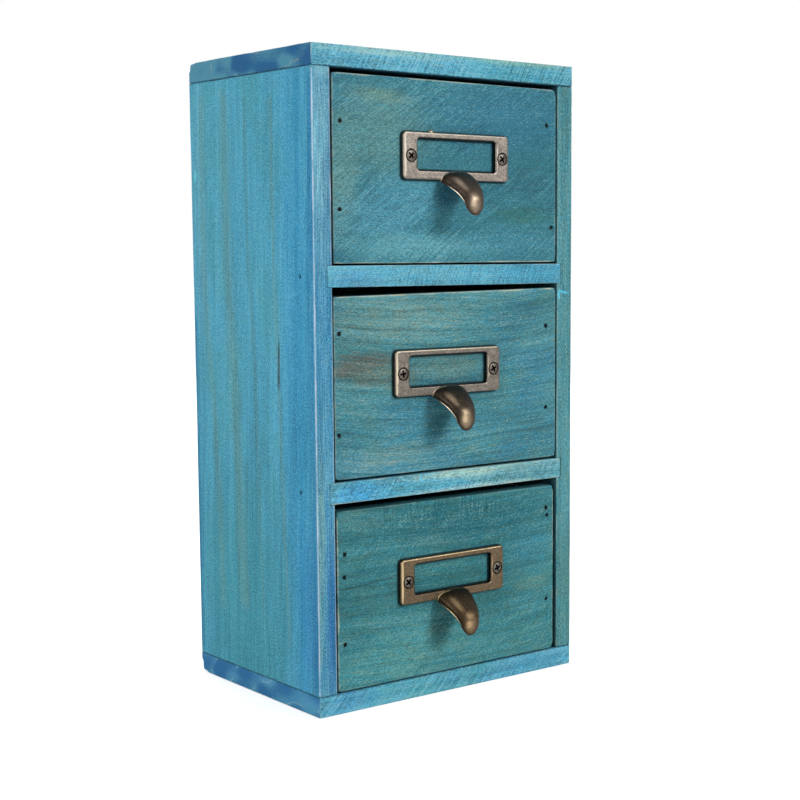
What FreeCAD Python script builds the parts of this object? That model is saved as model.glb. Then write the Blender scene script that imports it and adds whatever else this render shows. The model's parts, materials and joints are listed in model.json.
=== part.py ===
import FreeCAD, Part
import math
import os

import Sketcher
from FreeCAD import Placement, Rotation, Vector

# Desktop mini drawers: an upright case of stained boards, split by two dividers
# into three bays, with one nailed drawer in each bay and a cast label holder
# with a finger pull screwed to each drawer front.
#
# Seen from the front X runs right, the drawer fronts face -Y and Z points up.
# The origin is the centre of the case's underside. All lengths are millimetres.

SIZES = {
    # Case
    "case_width": 133.0,
    "case_depth": 95.0,
    "case_height": 263.0,
    "case_board": 8.5,
    "side_board": 8.4,
    "dado_depth": 2.4,
    "bottom_bay": 76.5,
    "middle_bay": 76.7,
    "edge_ease": 0.5,
    "rear_round": 1.8,
    # Back panel, let into a rabbet round the rear of the case
    "back_panel": 3.0,
    "rabbet_reach": 4.2,
    "panel_clearance": 0.1,
    # Drawer boxes
    "front_board": 8.5,
    "drawer_side": 8.0,
    "drawer_back": 8.0,
    "drawer_floor": 3.0,
    "groove_height": 3.0,
    "groove_depth": 3.0,
    "front_recess": 0.4,
    "run_clearance": 0.4,
    "rear_clearance": 0.5,
    "side_drop": 1.2,
    "top_side_play": 1.6,
    "top_shift": 0.25,
    "top_head_gap": 1.9,
    "top_front_raise": 0.3,
    "middle_side_play": 1.0,
    "middle_shift": 0.1,
    "middle_head_gap": 2.7,
    "middle_front_raise": 0.6,
    "middle_front_slope": 1.8,
    "bottom_side_play": 2.4,
    "bottom_shift": -0.3,
    "bottom_head_gap": 3.0,
    # Label holder: a plate with a window, and a finger pull below it
    "plate_width": 53.4,
    "plate_height": 18.9,
    "plate_thickness": 1.8,
    "plate_corner": 1.8,
    "plate_ease": 0.6,
    "side_rail": 6.6,
    "top_rail": 2.6,
    "bottom_rail": 3.9,
    "window_corner": 1.2,
    "card_slot_depth": 0.7,
    "card_slot_lip": 1.3,
    "pull_width": 18.4,
    "pull_reach": 14.9,
    "pull_drop": 18.05,
    "pull_wall": 1.1,
    "pull_raise": 0.2,
    "top_label_shift": 2.15,
    "top_label_raise": 6.1,
    "middle_label_shift": -2.45,
    "middle_label_raise": 4.1,
    "bottom_label_shift": -0.15,
    "bottom_label_raise": 4.15,
    # Cross-recess screws of the label holders
    "screw_length": 9.0,
    "screw_shank": 2.4,
    "screw_head": 5.0,
    "screw_dome": 0.5,
    "screw_point": 2.2,
    "recess_width": 0.65,
    "recess_span": 2.9,
    "recess_depth": 0.9,
    "screw_clearance": 0.1,
    # Headless nails
    "nail_diameter": 1.3,
    "nail_point": 1.6,
    "nail_sink": 0.6,
    "nail_clearance": 0.05,
    "long_nail": 18.0,
    "short_nail": 11.0,
    "upper_nail_setback": 10.1,
    "lower_nail_setback": 11.7,
    # How far a cutting shape runs past the face that it opens
    "overrun": 1.0,
}

# Places of the nails in each drawer front: how far into the drawer side's
# thickness from its outer face, and how far up the front, on each end.
FRONT_NAIL_SHARES = {
    "top": {
        "left": ((0.46, 0.75), (0.39, 0.287)),
        "right": ((0.66, 0.791), (0.31, 0.202)),
    },
    "middle": {
        "left": ((0.31, 0.791), (0.24, 0.243)),
        "right": ((0.70, 0.787), (0.70, 0.303)),
    },
    "bottom": {
        "left": ((0.46, 0.761), (0.42, 0.635), (0.42, 0.261)),
        "right": ((0.53, 0.867), (0.46, 0.821), (0.49, 0.309)),
    },
}
BACK_NAIL_HEIGHT_SHARES = (0.25, 0.75)
CASE_NAIL_DEPTH_SHARES = (0.14, 0.84)
PANEL_NAIL_HEIGHT_SHARES = (0.06, 0.5, 0.94)
PANEL_NAIL_WIDTH_SHARES = (0.3, 0.7)

# The finger pull as stations from its root to its tip. Each gives, as shares of
# half the root's width, of the reach and of the drop: half width, lip reach,
# lip drop, crown reach and crown drop.
PULL_STATION_SHARES = (
    (0.960, 0.055, 0.222, 0.100, 0.000),
    (0.860, 0.275, 0.318, 0.389, 0.118),
    (0.760, 0.497, 0.420, 0.651, 0.273),
    (0.650, 0.691, 0.544, 0.879, 0.442),
    (0.525, 0.826, 0.696, 0.993, 0.634),
    (0.440, 0.883, 0.842, 0.983, 0.837),
    (0.265, 0.900, 0.949, 0.950, 0.946),
    (0.150, 0.905, 0.986, 0.933, 0.985),
    (0.050, 0.907, 1.000, 0.922, 1.000),
)
# The hollow behind the pull uses the stations up to this one.
HOLLOW_STATIONS = 5
# Power of the arch that each section follows: 2 is a half ellipse, more is squarer.
ROOT_ARCH_POWER = 2.8
TIP_ARCH_POWER = 2.0
ARCH_POINTS = 17

# How far each screw is turned, in degrees, left then right.
SCREW_TURNS = {"top": (45, 38), "middle": (8, 28), "bottom": (40, 24)}

document = FreeCAD.newDocument("MiniDrawers")
sheet = document.addObject("Spreadsheet::Sheet", "Sizes")
for row, (alias, value) in enumerate(SIZES.items(), start=1):
    sheet.set(f"A{row}", alias)
    sheet.set(f"B{row}", str(value))
    sheet.setAlias(f"B{row}", alias)
document.recompute()

pieces = {}


def size(alias):
    """The value that the sheet holds under an alias."""
    return float(sheet.get(alias))


def bind(item, bindings):
    """Bind properties of an object to expressions."""
    for path, expression in bindings.items():
        item.setExpression(path, expression)
    return item


def place(item, x, y, z, rotation=Rotation()):
    """Turn an object and bind its position to three expressions."""
    item.Placement = Placement(Vector(), rotation)
    bases = ("Placement.Base.x", "Placement.Base.y", "Placement.Base.z")
    return bind(item, dict(zip(bases, (x, y, z))))


def keep(label, item):
    """Name a finished piece, which is written to a file of that name."""
    item.Label = label
    pieces[label] = item
    return item


# Expressions shared by several pieces
CASE_LEFT = "(-Sizes.case_width / 2)"
CASE_FRONT = "(-Sizes.case_depth / 2)"
CASE_REAR = "(Sizes.case_depth / 2)"
SIDE_HEIGHT = "(Sizes.case_height - 2 * Sizes.case_board)"
OPENING = "(Sizes.case_width - 2 * Sizes.side_board)"
SHELF_DEPTH = "(Sizes.case_depth - Sizes.back_panel)"
LOWER_DIVIDER = "(Sizes.case_board + Sizes.bottom_bay)"
UPPER_DIVIDER = f"({LOWER_DIVIDER} + Sizes.case_board + Sizes.middle_bay)"
TOP_FLOOR = f"({UPPER_DIVIDER} + Sizes.case_board)"
MIDDLE_FLOOR = f"({LOWER_DIVIDER} + Sizes.case_board)"
TOP_BAY = f"(Sizes.case_height - Sizes.case_board - {TOP_FLOOR})"
WINDOW_WIDTH = "(Sizes.plate_width - 2 * Sizes.side_rail)"
WINDOW_LOW = "(Sizes.bottom_rail - Sizes.plate_height / 2)"
WINDOW_HEIGHT = "(Sizes.plate_height - Sizes.top_rail - Sizes.bottom_rail)"
SCREW_SPACING = "(Sizes.plate_width - Sizes.side_rail)"
RABBET_INSET = "(Sizes.side_board - Sizes.rabbet_reach)"
BORE_RADIUS = "(Sizes.nail_diameter / 2 + Sizes.nail_clearance)"


# Sketches and features

def plane_of(body, role):
    """One of a body's own origin planes."""
    return next(item for item in body.Origin.OriginFeatures if item.Role == role)


def new_sketch(body, name, role, offset="0"):
    """An empty sketch on one of a body's origin planes, moved along its normal."""
    sketch = body.newObject("Sketcher::SketchObject", name)
    sketch.AttachmentSupport = (plane_of(body, role), [""])
    sketch.MapMode = "FlatFace"
    sketch.setExpression("AttachmentOffset.Base.z", offset)
    return sketch


def name_constraint(sketch, name, constraint, expression):
    """Add a constraint and bind its value."""
    index = sketch.addConstraint(constraint)
    sketch.renameConstraint(index, name)
    sketch.setExpression(f"Constraints.{name}", expression)


def four_sided(body, name, role, left, low, width, left_height, right_height, offset="0"):
    """A closed outline with upright ends, a level foot and a top that may slope."""
    sketch = new_sketch(body, name, role, offset)
    corners = (Vector(0, 0, 0), Vector(1, 0, 0), Vector(1, 1, 0), Vector(0, 1, 0))
    for start, end in zip(corners, corners[1:] + corners[:1]):
        sketch.addGeometry(Part.LineSegment(start, end), False)
    for edge in range(4):
        sketch.addConstraint(Sketcher.Constraint("Coincident", edge, 2, (edge + 1) % 4, 1))
    sketch.addConstraint(Sketcher.Constraint("Horizontal", 0))
    sketch.addConstraint(Sketcher.Constraint("Vertical", 1))
    sketch.addConstraint(Sketcher.Constraint("Vertical", 3))
    distances = (
        ("left", Sketcher.Constraint("DistanceX", -1, 1, 0, 1, 0), left),
        ("low", Sketcher.Constraint("DistanceY", -1, 1, 0, 1, 0), low),
        ("width", Sketcher.Constraint("DistanceX", 0, 1, 0, 2, 1), width),
        ("right_height", Sketcher.Constraint("DistanceY", 1, 1, 1, 2, 1), right_height),
        ("left_height", Sketcher.Constraint("DistanceY", 0, 1, 2, 2, 1), left_height),
    )
    for key, constraint, expression in distances:
        name_constraint(sketch, key, constraint, expression)
    return sketch


def rectangle(body, name, role, left, low, width, height, offset="0"):
    """A rectangle whose lower left corner is given in the plane's own axes."""
    return four_sided(body, name, role, left, low, width, height, height, offset)


def circles(body, name, role, centres, diameter, offset="0"):
    """Equal circles, each at a pair of expressions in the plane's own axes."""
    sketch = new_sketch(body, name, role, offset)
    for index, (across, up) in enumerate(centres):
        sketch.addGeometry(Part.Circle(Vector(), Vector(0, 0, 1), 1), False)
        across_rule = Sketcher.Constraint("DistanceX", -1, 1, index, 3, 0)
        up_rule = Sketcher.Constraint("DistanceY", -1, 1, index, 3, 0)
        name_constraint(sketch, f"across{index}", across_rule, across)
        name_constraint(sketch, f"up{index}", up_rule, up)
        diameter_rule = Sketcher.Constraint("Diameter", index, 2)
        name_constraint(sketch, f"diameter{index}", diameter_rule, diameter)
    return sketch


def pad(body, sketch, length, reversed_way=False):
    """Thicken a sketch along its normal, or the other way."""
    feature = body.newObject("PartDesign::Pad", f"{sketch.Name}_pad")
    feature.Profile = sketch
    feature.Reversed = reversed_way
    feature.setExpression("Length", length)
    document.recompute()
    return feature


def pocket(body, sketch, depth, reversed_way=False):
    """Cut a sketch against its normal, or along it, and make sure that it cuts."""
    before = body.Shape.Volume
    feature = body.newObject("PartDesign::Pocket", f"{sketch.Name}_cut")
    feature.Profile = sketch
    feature.Reversed = reversed_way
    feature.setExpression("Length", depth)
    document.recompute()
    if not body.Shape.Volume < before:
        raise ValueError(f"{feature.Name} cuts nothing")
    return feature


def edges_where(shape, test):
    """Names of a shape's edges all of whose ends and middle pass a test."""
    names = []
    for index, edge in enumerate(shape.Edges, start=1):
        middle = edge.valueAt((edge.FirstParameter + edge.LastParameter) / 2)
        points = [vertex.Point for vertex in edge.Vertexes] + [middle]
        if all(test(point) for point in points):
            names.append(f"Edge{index}")
    return names


def near(first, second):
    """Whether two lengths are the same."""
    return abs(first - second) < size("panel_clearance") / 100


def round_edges(body, name, test, radius):
    """Round the edges of a body's tip that pass a test."""
    base = body.Tip
    feature = body.newObject("PartDesign::Fillet", name)
    feature.Base = (base, edges_where(base.Shape, test))
    feature.setExpression("Radius", radius)
    document.recompute()
    return feature


# Nails, screws and the holes that they sit in

TO_REAR = Rotation(Vector(1, 0, 0), 90)
TO_FRONT = Rotation(Vector(1, 0, 0), -90)
DOWN = Rotation()
UP = Rotation(Vector(1, 0, 0), 180)
TO_RIGHT = Rotation(Vector(0, 1, 0), -90)
TO_LEFT = Rotation(Vector(0, 1, 0), 90)

# Where the direction of driving lies on X, Y and Z
DRIVES = {
    "rear": (TO_REAR, (0, 1, 0)),
    "front": (TO_FRONT, (0, -1, 0)),
    "down": (DOWN, (0, 0, -1)),
    "up": (UP, (0, 0, 1)),
    "right": (TO_RIGHT, (1, 0, 0)),
    "left": (TO_LEFT, (-1, 0, 0)),
}


def nail_and_bore(name, start, drive, length):
    """A headless nail sunk below the point where it was driven in, and its bore.

    Both are made pointing down from the origin, then turned and moved."""
    rotation, direction = DRIVES[drive]
    shank = document.addObject("Part::Cylinder", f"{name}_shank")
    bind(shank, {
        "Radius": "Sizes.nail_diameter / 2",
        "Height": f"{length} - Sizes.nail_point",
        "Placement.Base.z": f"-({length} - Sizes.nail_point)",
    })
    point = document.addObject("Part::Cone", f"{name}_point")
    point.Radius1 = 0
    bind(point, {
        "Radius2": "Sizes.nail_diameter / 2",
        "Height": "Sizes.nail_point",
        "Placement.Base.z": f"-{length}",
    })
    nail = document.addObject("Part::Fuse", name)
    nail.Base = shank
    nail.Tool = point
    bore = document.addObject("Part::Cylinder", f"{name}_bore")
    bind(bore, {
        "Radius": BORE_RADIUS,
        "Height": f"{length} + Sizes.nail_sink + Sizes.nail_clearance + Sizes.overrun",
    })
    deep = f"({length} + Sizes.nail_sink + Sizes.nail_clearance)"
    sunk = [f"{base} + {way} * Sizes.nail_sink" for base, way in zip(start, direction)]
    ends = [f"{base} + {way} * {deep}" for base, way in zip(start, direction)]
    place(nail, *sunk, rotation)
    place(bore, *ends, rotation)
    return nail, bore


def compound(name, items):
    """Several separate solids as one object."""
    group = document.addObject("Part::Compound", name)
    group.Links = items
    return group


def nail_group(label, starts, length):
    """Nails that share one node. Gives the tool that drills their bores."""
    made = [
        nail_and_bore(f"{label}_{number}", start, drive, length)
        for number, (start, drive) in enumerate(starts, start=1)
    ]
    keep(label, compound(f"{label}_set", [nail for nail, _ in made]))
    return compound(f"{label}_bores", [bore for _, bore in made])


def drilled(label, blank, tools):
    """A finished board: its blank with the bores cut out of it."""
    tool = tools[0] if len(tools) == 1 else compound(f"{label}_tools", tools)
    cut = document.addObject("Part::Cut", f"{label}_drilled")
    cut.Base = blank
    cut.Tool = tool
    return keep(label, cut)


def wood_screw(name, x, y, z, turn):
    """A countersunk screw with a low dome and a cross recess, and its pilot bore."""
    head = document.addObject("Part::Cone", f"{name}_head")
    bind(head, {
        "Radius1": "Sizes.screw_shank / 2",
        "Radius2": "Sizes.screw_head / 2",
        "Height": "(Sizes.screw_head - Sizes.screw_shank) / 2",
        "Placement.Base.z": "-(Sizes.screw_head - Sizes.screw_shank) / 2",
    })
    ball_radius = "((Sizes.screw_head / 2)^2 + Sizes.screw_dome^2) / (2 * Sizes.screw_dome)"
    dome = document.addObject("Part::Sphere", f"{name}_dome")
    bind(dome, {
        "Radius": ball_radius,
        "Angle1": f"asin(({ball_radius} - Sizes.screw_dome) / ({ball_radius}))",
        "Placement.Base.z": f"Sizes.screw_dome - ({ball_radius})",
    })
    shank = document.addObject("Part::Cylinder", f"{name}_shank")
    bind(shank, {
        "Radius": "Sizes.screw_shank / 2",
        "Height": "Sizes.screw_length - Sizes.screw_point",
        "Placement.Base.z": "-(Sizes.screw_length - Sizes.screw_point)",
    })
    point = document.addObject("Part::Cone", f"{name}_point")
    point.Radius1 = 0
    bind(point, {
        "Radius2": "Sizes.screw_shank / 2",
        "Height": "Sizes.screw_point",
        "Placement.Base.z": "-Sizes.screw_length",
    })
    solid = document.addObject("Part::MultiFuse", f"{name}_solid")
    solid.Shapes = [head, dome, shank, point]
    bars = []
    for number, (long_way, short_way) in enumerate((("x", "y"), ("y", "x"))):
        bar = document.addObject("Part::Box", f"{name}_bar{number}")
        lengths = {long_way: "Sizes.recess_span", short_way: "Sizes.recess_width"}
        bind(bar, {
            "Length": lengths["x"],
            "Width": lengths["y"],
            "Height": "Sizes.recess_depth + Sizes.screw_dome",
            "Placement.Base.x": f"-{lengths['x']} / 2",
            "Placement.Base.y": f"-{lengths['y']} / 2",
            "Placement.Base.z": "-Sizes.recess_depth + Sizes.screw_dome",
        })
        bars.append(bar)
    recess = document.addObject("Part::Fuse", f"{name}_recess")
    recess.Base, recess.Tool = bars
    screw = document.addObject("Part::Cut", name)
    screw.Base = solid
    screw.Tool = recess
    turned = TO_REAR.multiply(Rotation(Vector(0, 0, 1), turn))
    place(screw, x, y, z, turned)
    pilot = document.addObject("Part::Cylinder", f"{name}_pilot")
    bind(pilot, {
        "Radius": "Sizes.screw_shank / 2 + Sizes.screw_clearance",
        "Height": "Sizes.screw_length + Sizes.screw_clearance",
    })
    place(pilot, x, f"{y} + Sizes.screw_length + Sizes.screw_clearance", z, TO_REAR)
    return screw, pilot


# Label holder

def arch_section(half_width, lip, crown, power, skirt):
    """A closed outline: an arch from lip to lip over the crown, and a straight foot.

    Lip and crown are (reach, height) pairs. The skirt carries the foot of the
    section straight on past the lips, away from the crown."""
    base = Vector(0, -lip[0], lip[1])
    rise = Vector(0, -crown[0], crown[1]) - base
    points = []
    for step in range(ARCH_POINTS):
        angle = math.pi * step / (ARCH_POINTS - 1)
        side = math.copysign(abs(math.cos(angle)) ** (2 / power), math.cos(angle))
        height = abs(math.sin(angle)) ** (2 / power)
        points.append(base + Vector(side * half_width, 0, 0) + rise * height)
    arch = Part.BSplineCurve()
    arch.interpolate(points)
    corners = [points[-1], points[0]]
    if skirt > 0:
        down = Vector(rise).normalize() * -skirt
        corners = [points[-1], points[-1] + down, points[0] + down, points[0]]
    foot = [Part.makeLine(start, end) for start, end in zip(corners, corners[1:])]
    return Part.Wire([arch.toShape()] + foot)


def pull_shape():
    """The cast finger pull: a tongue that reaches forward and curls down, hollow behind."""
    half_width = size("pull_width") / 2
    reach = size("pull_reach")
    drop = size("pull_drop")
    wall = size("pull_wall")
    root = size("bottom_rail") - size("plate_height") / 2 + size("pull_raise")

    outer = []
    hollow = []
    for number, shares in enumerate(PULL_STATION_SHARES):
        width_share, lip_reach, lip_drop, crown_reach, crown_drop = shares
        lip = (lip_reach * reach, root - lip_drop * drop)
        crown = (crown_reach * reach, root - crown_drop * drop)
        power = ROOT_ARCH_POWER + (TIP_ARCH_POWER - ROOT_ARCH_POWER) * lip_drop
        outer.append(arch_section(width_share * half_width, lip, crown, power, 0))
        if 0 < number < HOLLOW_STATIONS:
            rise = Vector(crown[0] - lip[0], crown[1] - lip[1], 0)
            inner_share = (rise.Length - wall) / rise.Length
            inner_crown = (lip[0] + inner_share * rise.x, lip[1] + inner_share * rise.y)
            inner_width = width_share * half_width - wall
            hollow.append(arch_section(inner_width, lip, inner_crown, power, size("overrun")))
    solid = Part.makeLoft(outer, True, False)
    return solid.cut(Part.makeLoft(hollow, True, False))


def label_holder(label, x, y, z):
    """The cast label holder: plate and finger pull in one piece."""
    body = document.addObject("PartDesign::Body", f"{label}_plate")
    outline = rectangle(
        body, f"{label}_outline", "XZ_Plane",
        "-Sizes.plate_width / 2", "-Sizes.plate_height / 2",
        "Sizes.plate_width", "Sizes.plate_height",
    )
    pad(body, outline, "Sizes.plate_thickness")
    half_width = size("plate_width") / 2
    front = -size("plate_thickness")
    round_edges(
        body, f"{label}_corners",
        lambda p: near(abs(p.x), half_width) and near(abs(p.z), size("plate_height") / 2),
        "Sizes.plate_corner",
    )
    round_edges(body, f"{label}_ease", lambda p: near(p.y, front), "Sizes.plate_ease")

    window = rectangle(
        body, f"{label}_window", "XZ_Plane",
        f"-{WINDOW_WIDTH} / 2", WINDOW_LOW, WINDOW_WIDTH, WINDOW_HEIGHT,
        "Sizes.plate_thickness",
    )
    pocket(body, window, "Sizes.plate_thickness")
    window_half = half_width - size("side_rail")
    window_ends = (
        size("bottom_rail") - size("plate_height") / 2,
        size("plate_height") / 2 - size("top_rail"),
    )
    round_edges(
        body, f"{label}_window_corners",
        lambda p: near(abs(p.x), window_half) and any(near(p.z, end) for end in window_ends),
        "Sizes.window_corner",
    )

    slot_low = f"({WINDOW_LOW} - Sizes.card_slot_lip)"
    slot_width = f"({WINDOW_WIDTH} + 2 * Sizes.card_slot_lip)"
    slot = rectangle(
        body, f"{label}_card_slot", "XZ_Plane",
        f"-{slot_width} / 2", slot_low,
        slot_width, f"Sizes.plate_height / 2 - {slot_low} + Sizes.overrun",
    )
    pocket(body, slot, "Sizes.card_slot_depth", True)

    centres = ((f"-{SCREW_SPACING} / 2", "0"), (f"{SCREW_SPACING} / 2", "0"))
    hole_diameter = "Sizes.screw_shank + 2 * Sizes.screw_clearance"
    holes = circles(
        body, f"{label}_holes", "XZ_Plane", centres, hole_diameter, "Sizes.plate_thickness"
    )
    pocket(body, holes, "Sizes.plate_thickness")
    hole_radius = size("screw_shank") / 2 + size("screw_clearance")
    half_spacing = half_width - size("side_rail") / 2
    blank = body.Tip
    rims = edges_where(
        blank.Shape,
        lambda p: near(p.y, front)
        and near(((abs(p.x) - half_spacing) ** 2 + p.z ** 2) ** 0.5, hole_radius),
    )
    countersink = body.newObject("PartDesign::Chamfer", f"{label}_countersinks")
    countersink.Base = (blank, rims)
    countersink.setExpression("Size", "(Sizes.screw_head - Sizes.screw_shank) / 2")
    document.recompute()

    pull = document.addObject("Part::Feature", f"{label}_pull")
    pull.Shape = pull_shape()
    pull.Placement = Placement()
    holder = document.addObject("Part::Fuse", f"{label}_casting")
    holder.Base = body
    holder.Tool = pull
    place(holder, x, y, z)
    return keep(label, holder)


# Case

def level_board(name, x, y, z, width, depth):
    """The blank of a board that lies flat."""
    body = document.addObject("PartDesign::Body", name)
    outline = rectangle(body, f"{name}_outline", "XY_Plane", "0", "0", width, depth)
    pad(body, outline, "Sizes.case_board")
    place(body, x, y, z)
    return body


def end_board(name, z, outer_up):
    """The blank of the top or bottom board, rabbeted for the back panel.

    Its outer face is its upper one on the top board, its lower one on the bottom."""
    body = level_board(name, CASE_LEFT, CASE_FRONT, z, "Sizes.case_width", "Sizes.case_depth")
    outer = size("case_board") if outer_up else 0
    rear = size("case_depth")
    round_edges(
        body, f"{name}_rear_round",
        lambda p: near(p.z, outer) and near(p.y, rear),
        "Sizes.rear_round",
    )
    round_edges(
        body, f"{name}_ease",
        lambda p: near(p.z, outer) and p.y < rear / 2 and near(p.y, 0),
        "Sizes.edge_ease",
    )
    rabbet = rectangle(
        body, f"{name}_rabbet", "XY_Plane",
        RABBET_INSET, SHELF_DEPTH,
        f"Sizes.case_width - 2 * {RABBET_INSET}", "Sizes.back_panel + Sizes.overrun",
        "0" if outer_up else "Sizes.case_board",
    )
    pocket(body, rabbet, "Sizes.rabbet_reach", outer_up)
    return body


def side_board(name, x, inner_right):
    """The blank of a side board: dadoes for both dividers, a rabbet for the back panel."""
    body = document.addObject("PartDesign::Body", name)
    outline = rectangle(
        body, f"{name}_outline", "YZ_Plane", "0", "0", "Sizes.case_depth", SIDE_HEIGHT
    )
    pad(body, outline, "Sizes.side_board")
    outer = 0 if inner_right else size("side_board")
    round_edges(
        body, f"{name}_ease",
        lambda p: near(p.x, outer) and near(p.y, 0),
        "Sizes.edge_ease",
    )
    inner = "Sizes.side_board" if inner_right else "0"
    for shelf, level in (("lower", LOWER_DIVIDER), ("upper", UPPER_DIVIDER)):
        dado = rectangle(
            body, f"{name}_{shelf}_dado", "YZ_Plane",
            "-Sizes.overrun", f"{level} - Sizes.case_board",
            f"{SHELF_DEPTH} + Sizes.overrun", "Sizes.case_board",
            inner,
        )
        pocket(body, dado, "Sizes.dado_depth", not inner_right)
    rabbet = rectangle(
        body, f"{name}_rabbet", "YZ_Plane",
        SHELF_DEPTH, "-Sizes.overrun",
        "Sizes.back_panel + Sizes.overrun", f"{SIDE_HEIGHT} + 2 * Sizes.overrun",
        inner,
    )
    pocket(body, rabbet, "Sizes.rabbet_reach", not inner_right)
    place(body, x, CASE_FRONT, "Sizes.case_board")
    return body


def panel_blank(name):
    """The blank of the back panel."""
    body = document.addObject("PartDesign::Body", name)
    clear = "Sizes.panel_clearance"
    inset = f"({RABBET_INSET} + {clear})"
    foot = f"(Sizes.case_board - Sizes.rabbet_reach + {clear})"
    outline = rectangle(
        body, f"{name}_outline", "XZ_Plane", "0", "0",
        f"Sizes.case_width - 2 * {inset}", f"Sizes.case_height - 2 * {foot}",
    )
    pad(body, outline, "Sizes.back_panel", True)
    place(body, f"{CASE_LEFT} + {inset}", f"{CASE_REAR} - Sizes.back_panel", foot)
    return body


def case_nails():
    """The case's nails. Gives the bores of each group by its label."""
    edge_line = "(Sizes.case_width / 2 - Sizes.side_board / 2)"
    levels = ((LOWER_DIVIDER, "lower"), (UPPER_DIVIDER, "upper"))
    top = []
    bottom = []
    divider = []
    panel = []
    for sign, drive in ((-1, "right"), (1, "left")):
        for share in CASE_NAIL_DEPTH_SHARES:
            along = f"{CASE_FRONT} + {share} * Sizes.case_depth"
            top.append(((f"{sign} * {edge_line}", along, "Sizes.case_height"), "down"))
            bottom.append(((f"{sign} * {edge_line}", along, "0"), "up"))
        for level, row_name in levels:
            start = (
                f"{sign} * Sizes.case_width / 2",
                f"{CASE_FRONT} + Sizes.{row_name}_nail_setback",
                f"{level} + Sizes.case_board / 2",
            )
            divider.append((start, drive))
        for share in PANEL_NAIL_HEIGHT_SHARES:
            across = f"{sign} * ({OPENING} / 2 + Sizes.rabbet_reach / 2)"
            height = f"{share} * Sizes.case_height"
            panel.append(((across, CASE_REAR, height), "front"))
    for level, _ in levels:
        for share in PANEL_NAIL_WIDTH_SHARES:
            across = f"({share} - 1 / 2) * {OPENING}"
            height = f"{level} + Sizes.case_board / 2"
            panel.append(((across, CASE_REAR, height), "front"))
    return {
        "top": nail_group("top_board_nails", top, "Sizes.long_nail"),
        "bottom": nail_group("bottom_board_nails", bottom, "Sizes.long_nail"),
        "divider": nail_group("divider_nails", divider, "Sizes.long_nail"),
        "panel": nail_group("back_panel_nails", panel, "Sizes.short_nail"),
    }


def build_case():
    """The case: four boards, two dividers, the back panel and their nails."""
    bores = case_nails()
    top_height = "Sizes.case_height - Sizes.case_board"
    drilled("top_board", end_board("top_blank", top_height, True), [bores["top"]])
    drilled("bottom_board", end_board("bottom_blank", "0", False), [bores["bottom"]])
    side_tools = [bores["top"], bores["bottom"], bores["divider"], bores["panel"]]
    drilled("left_side_board", side_board("left_blank", CASE_LEFT, True), side_tools)
    right_start = "(Sizes.case_width / 2 - Sizes.side_board)"
    drilled("right_side_board", side_board("right_blank", right_start, False), side_tools)
    shelf_start = f"-({OPENING} / 2 + Sizes.dado_depth)"
    shelf_width = f"{OPENING} + 2 * Sizes.dado_depth"
    for shelf, level in (("lower", LOWER_DIVIDER), ("upper", UPPER_DIVIDER)):
        blank = level_board(
            f"{shelf}_shelf_blank", shelf_start, CASE_FRONT, level, shelf_width, SHELF_DEPTH
        )
        drilled(f"{shelf}_divider", blank, [bores["divider"], bores["panel"]])
    drilled("back_panel", panel_blank("panel_blank"), [bores["panel"]])


# Drawers

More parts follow.
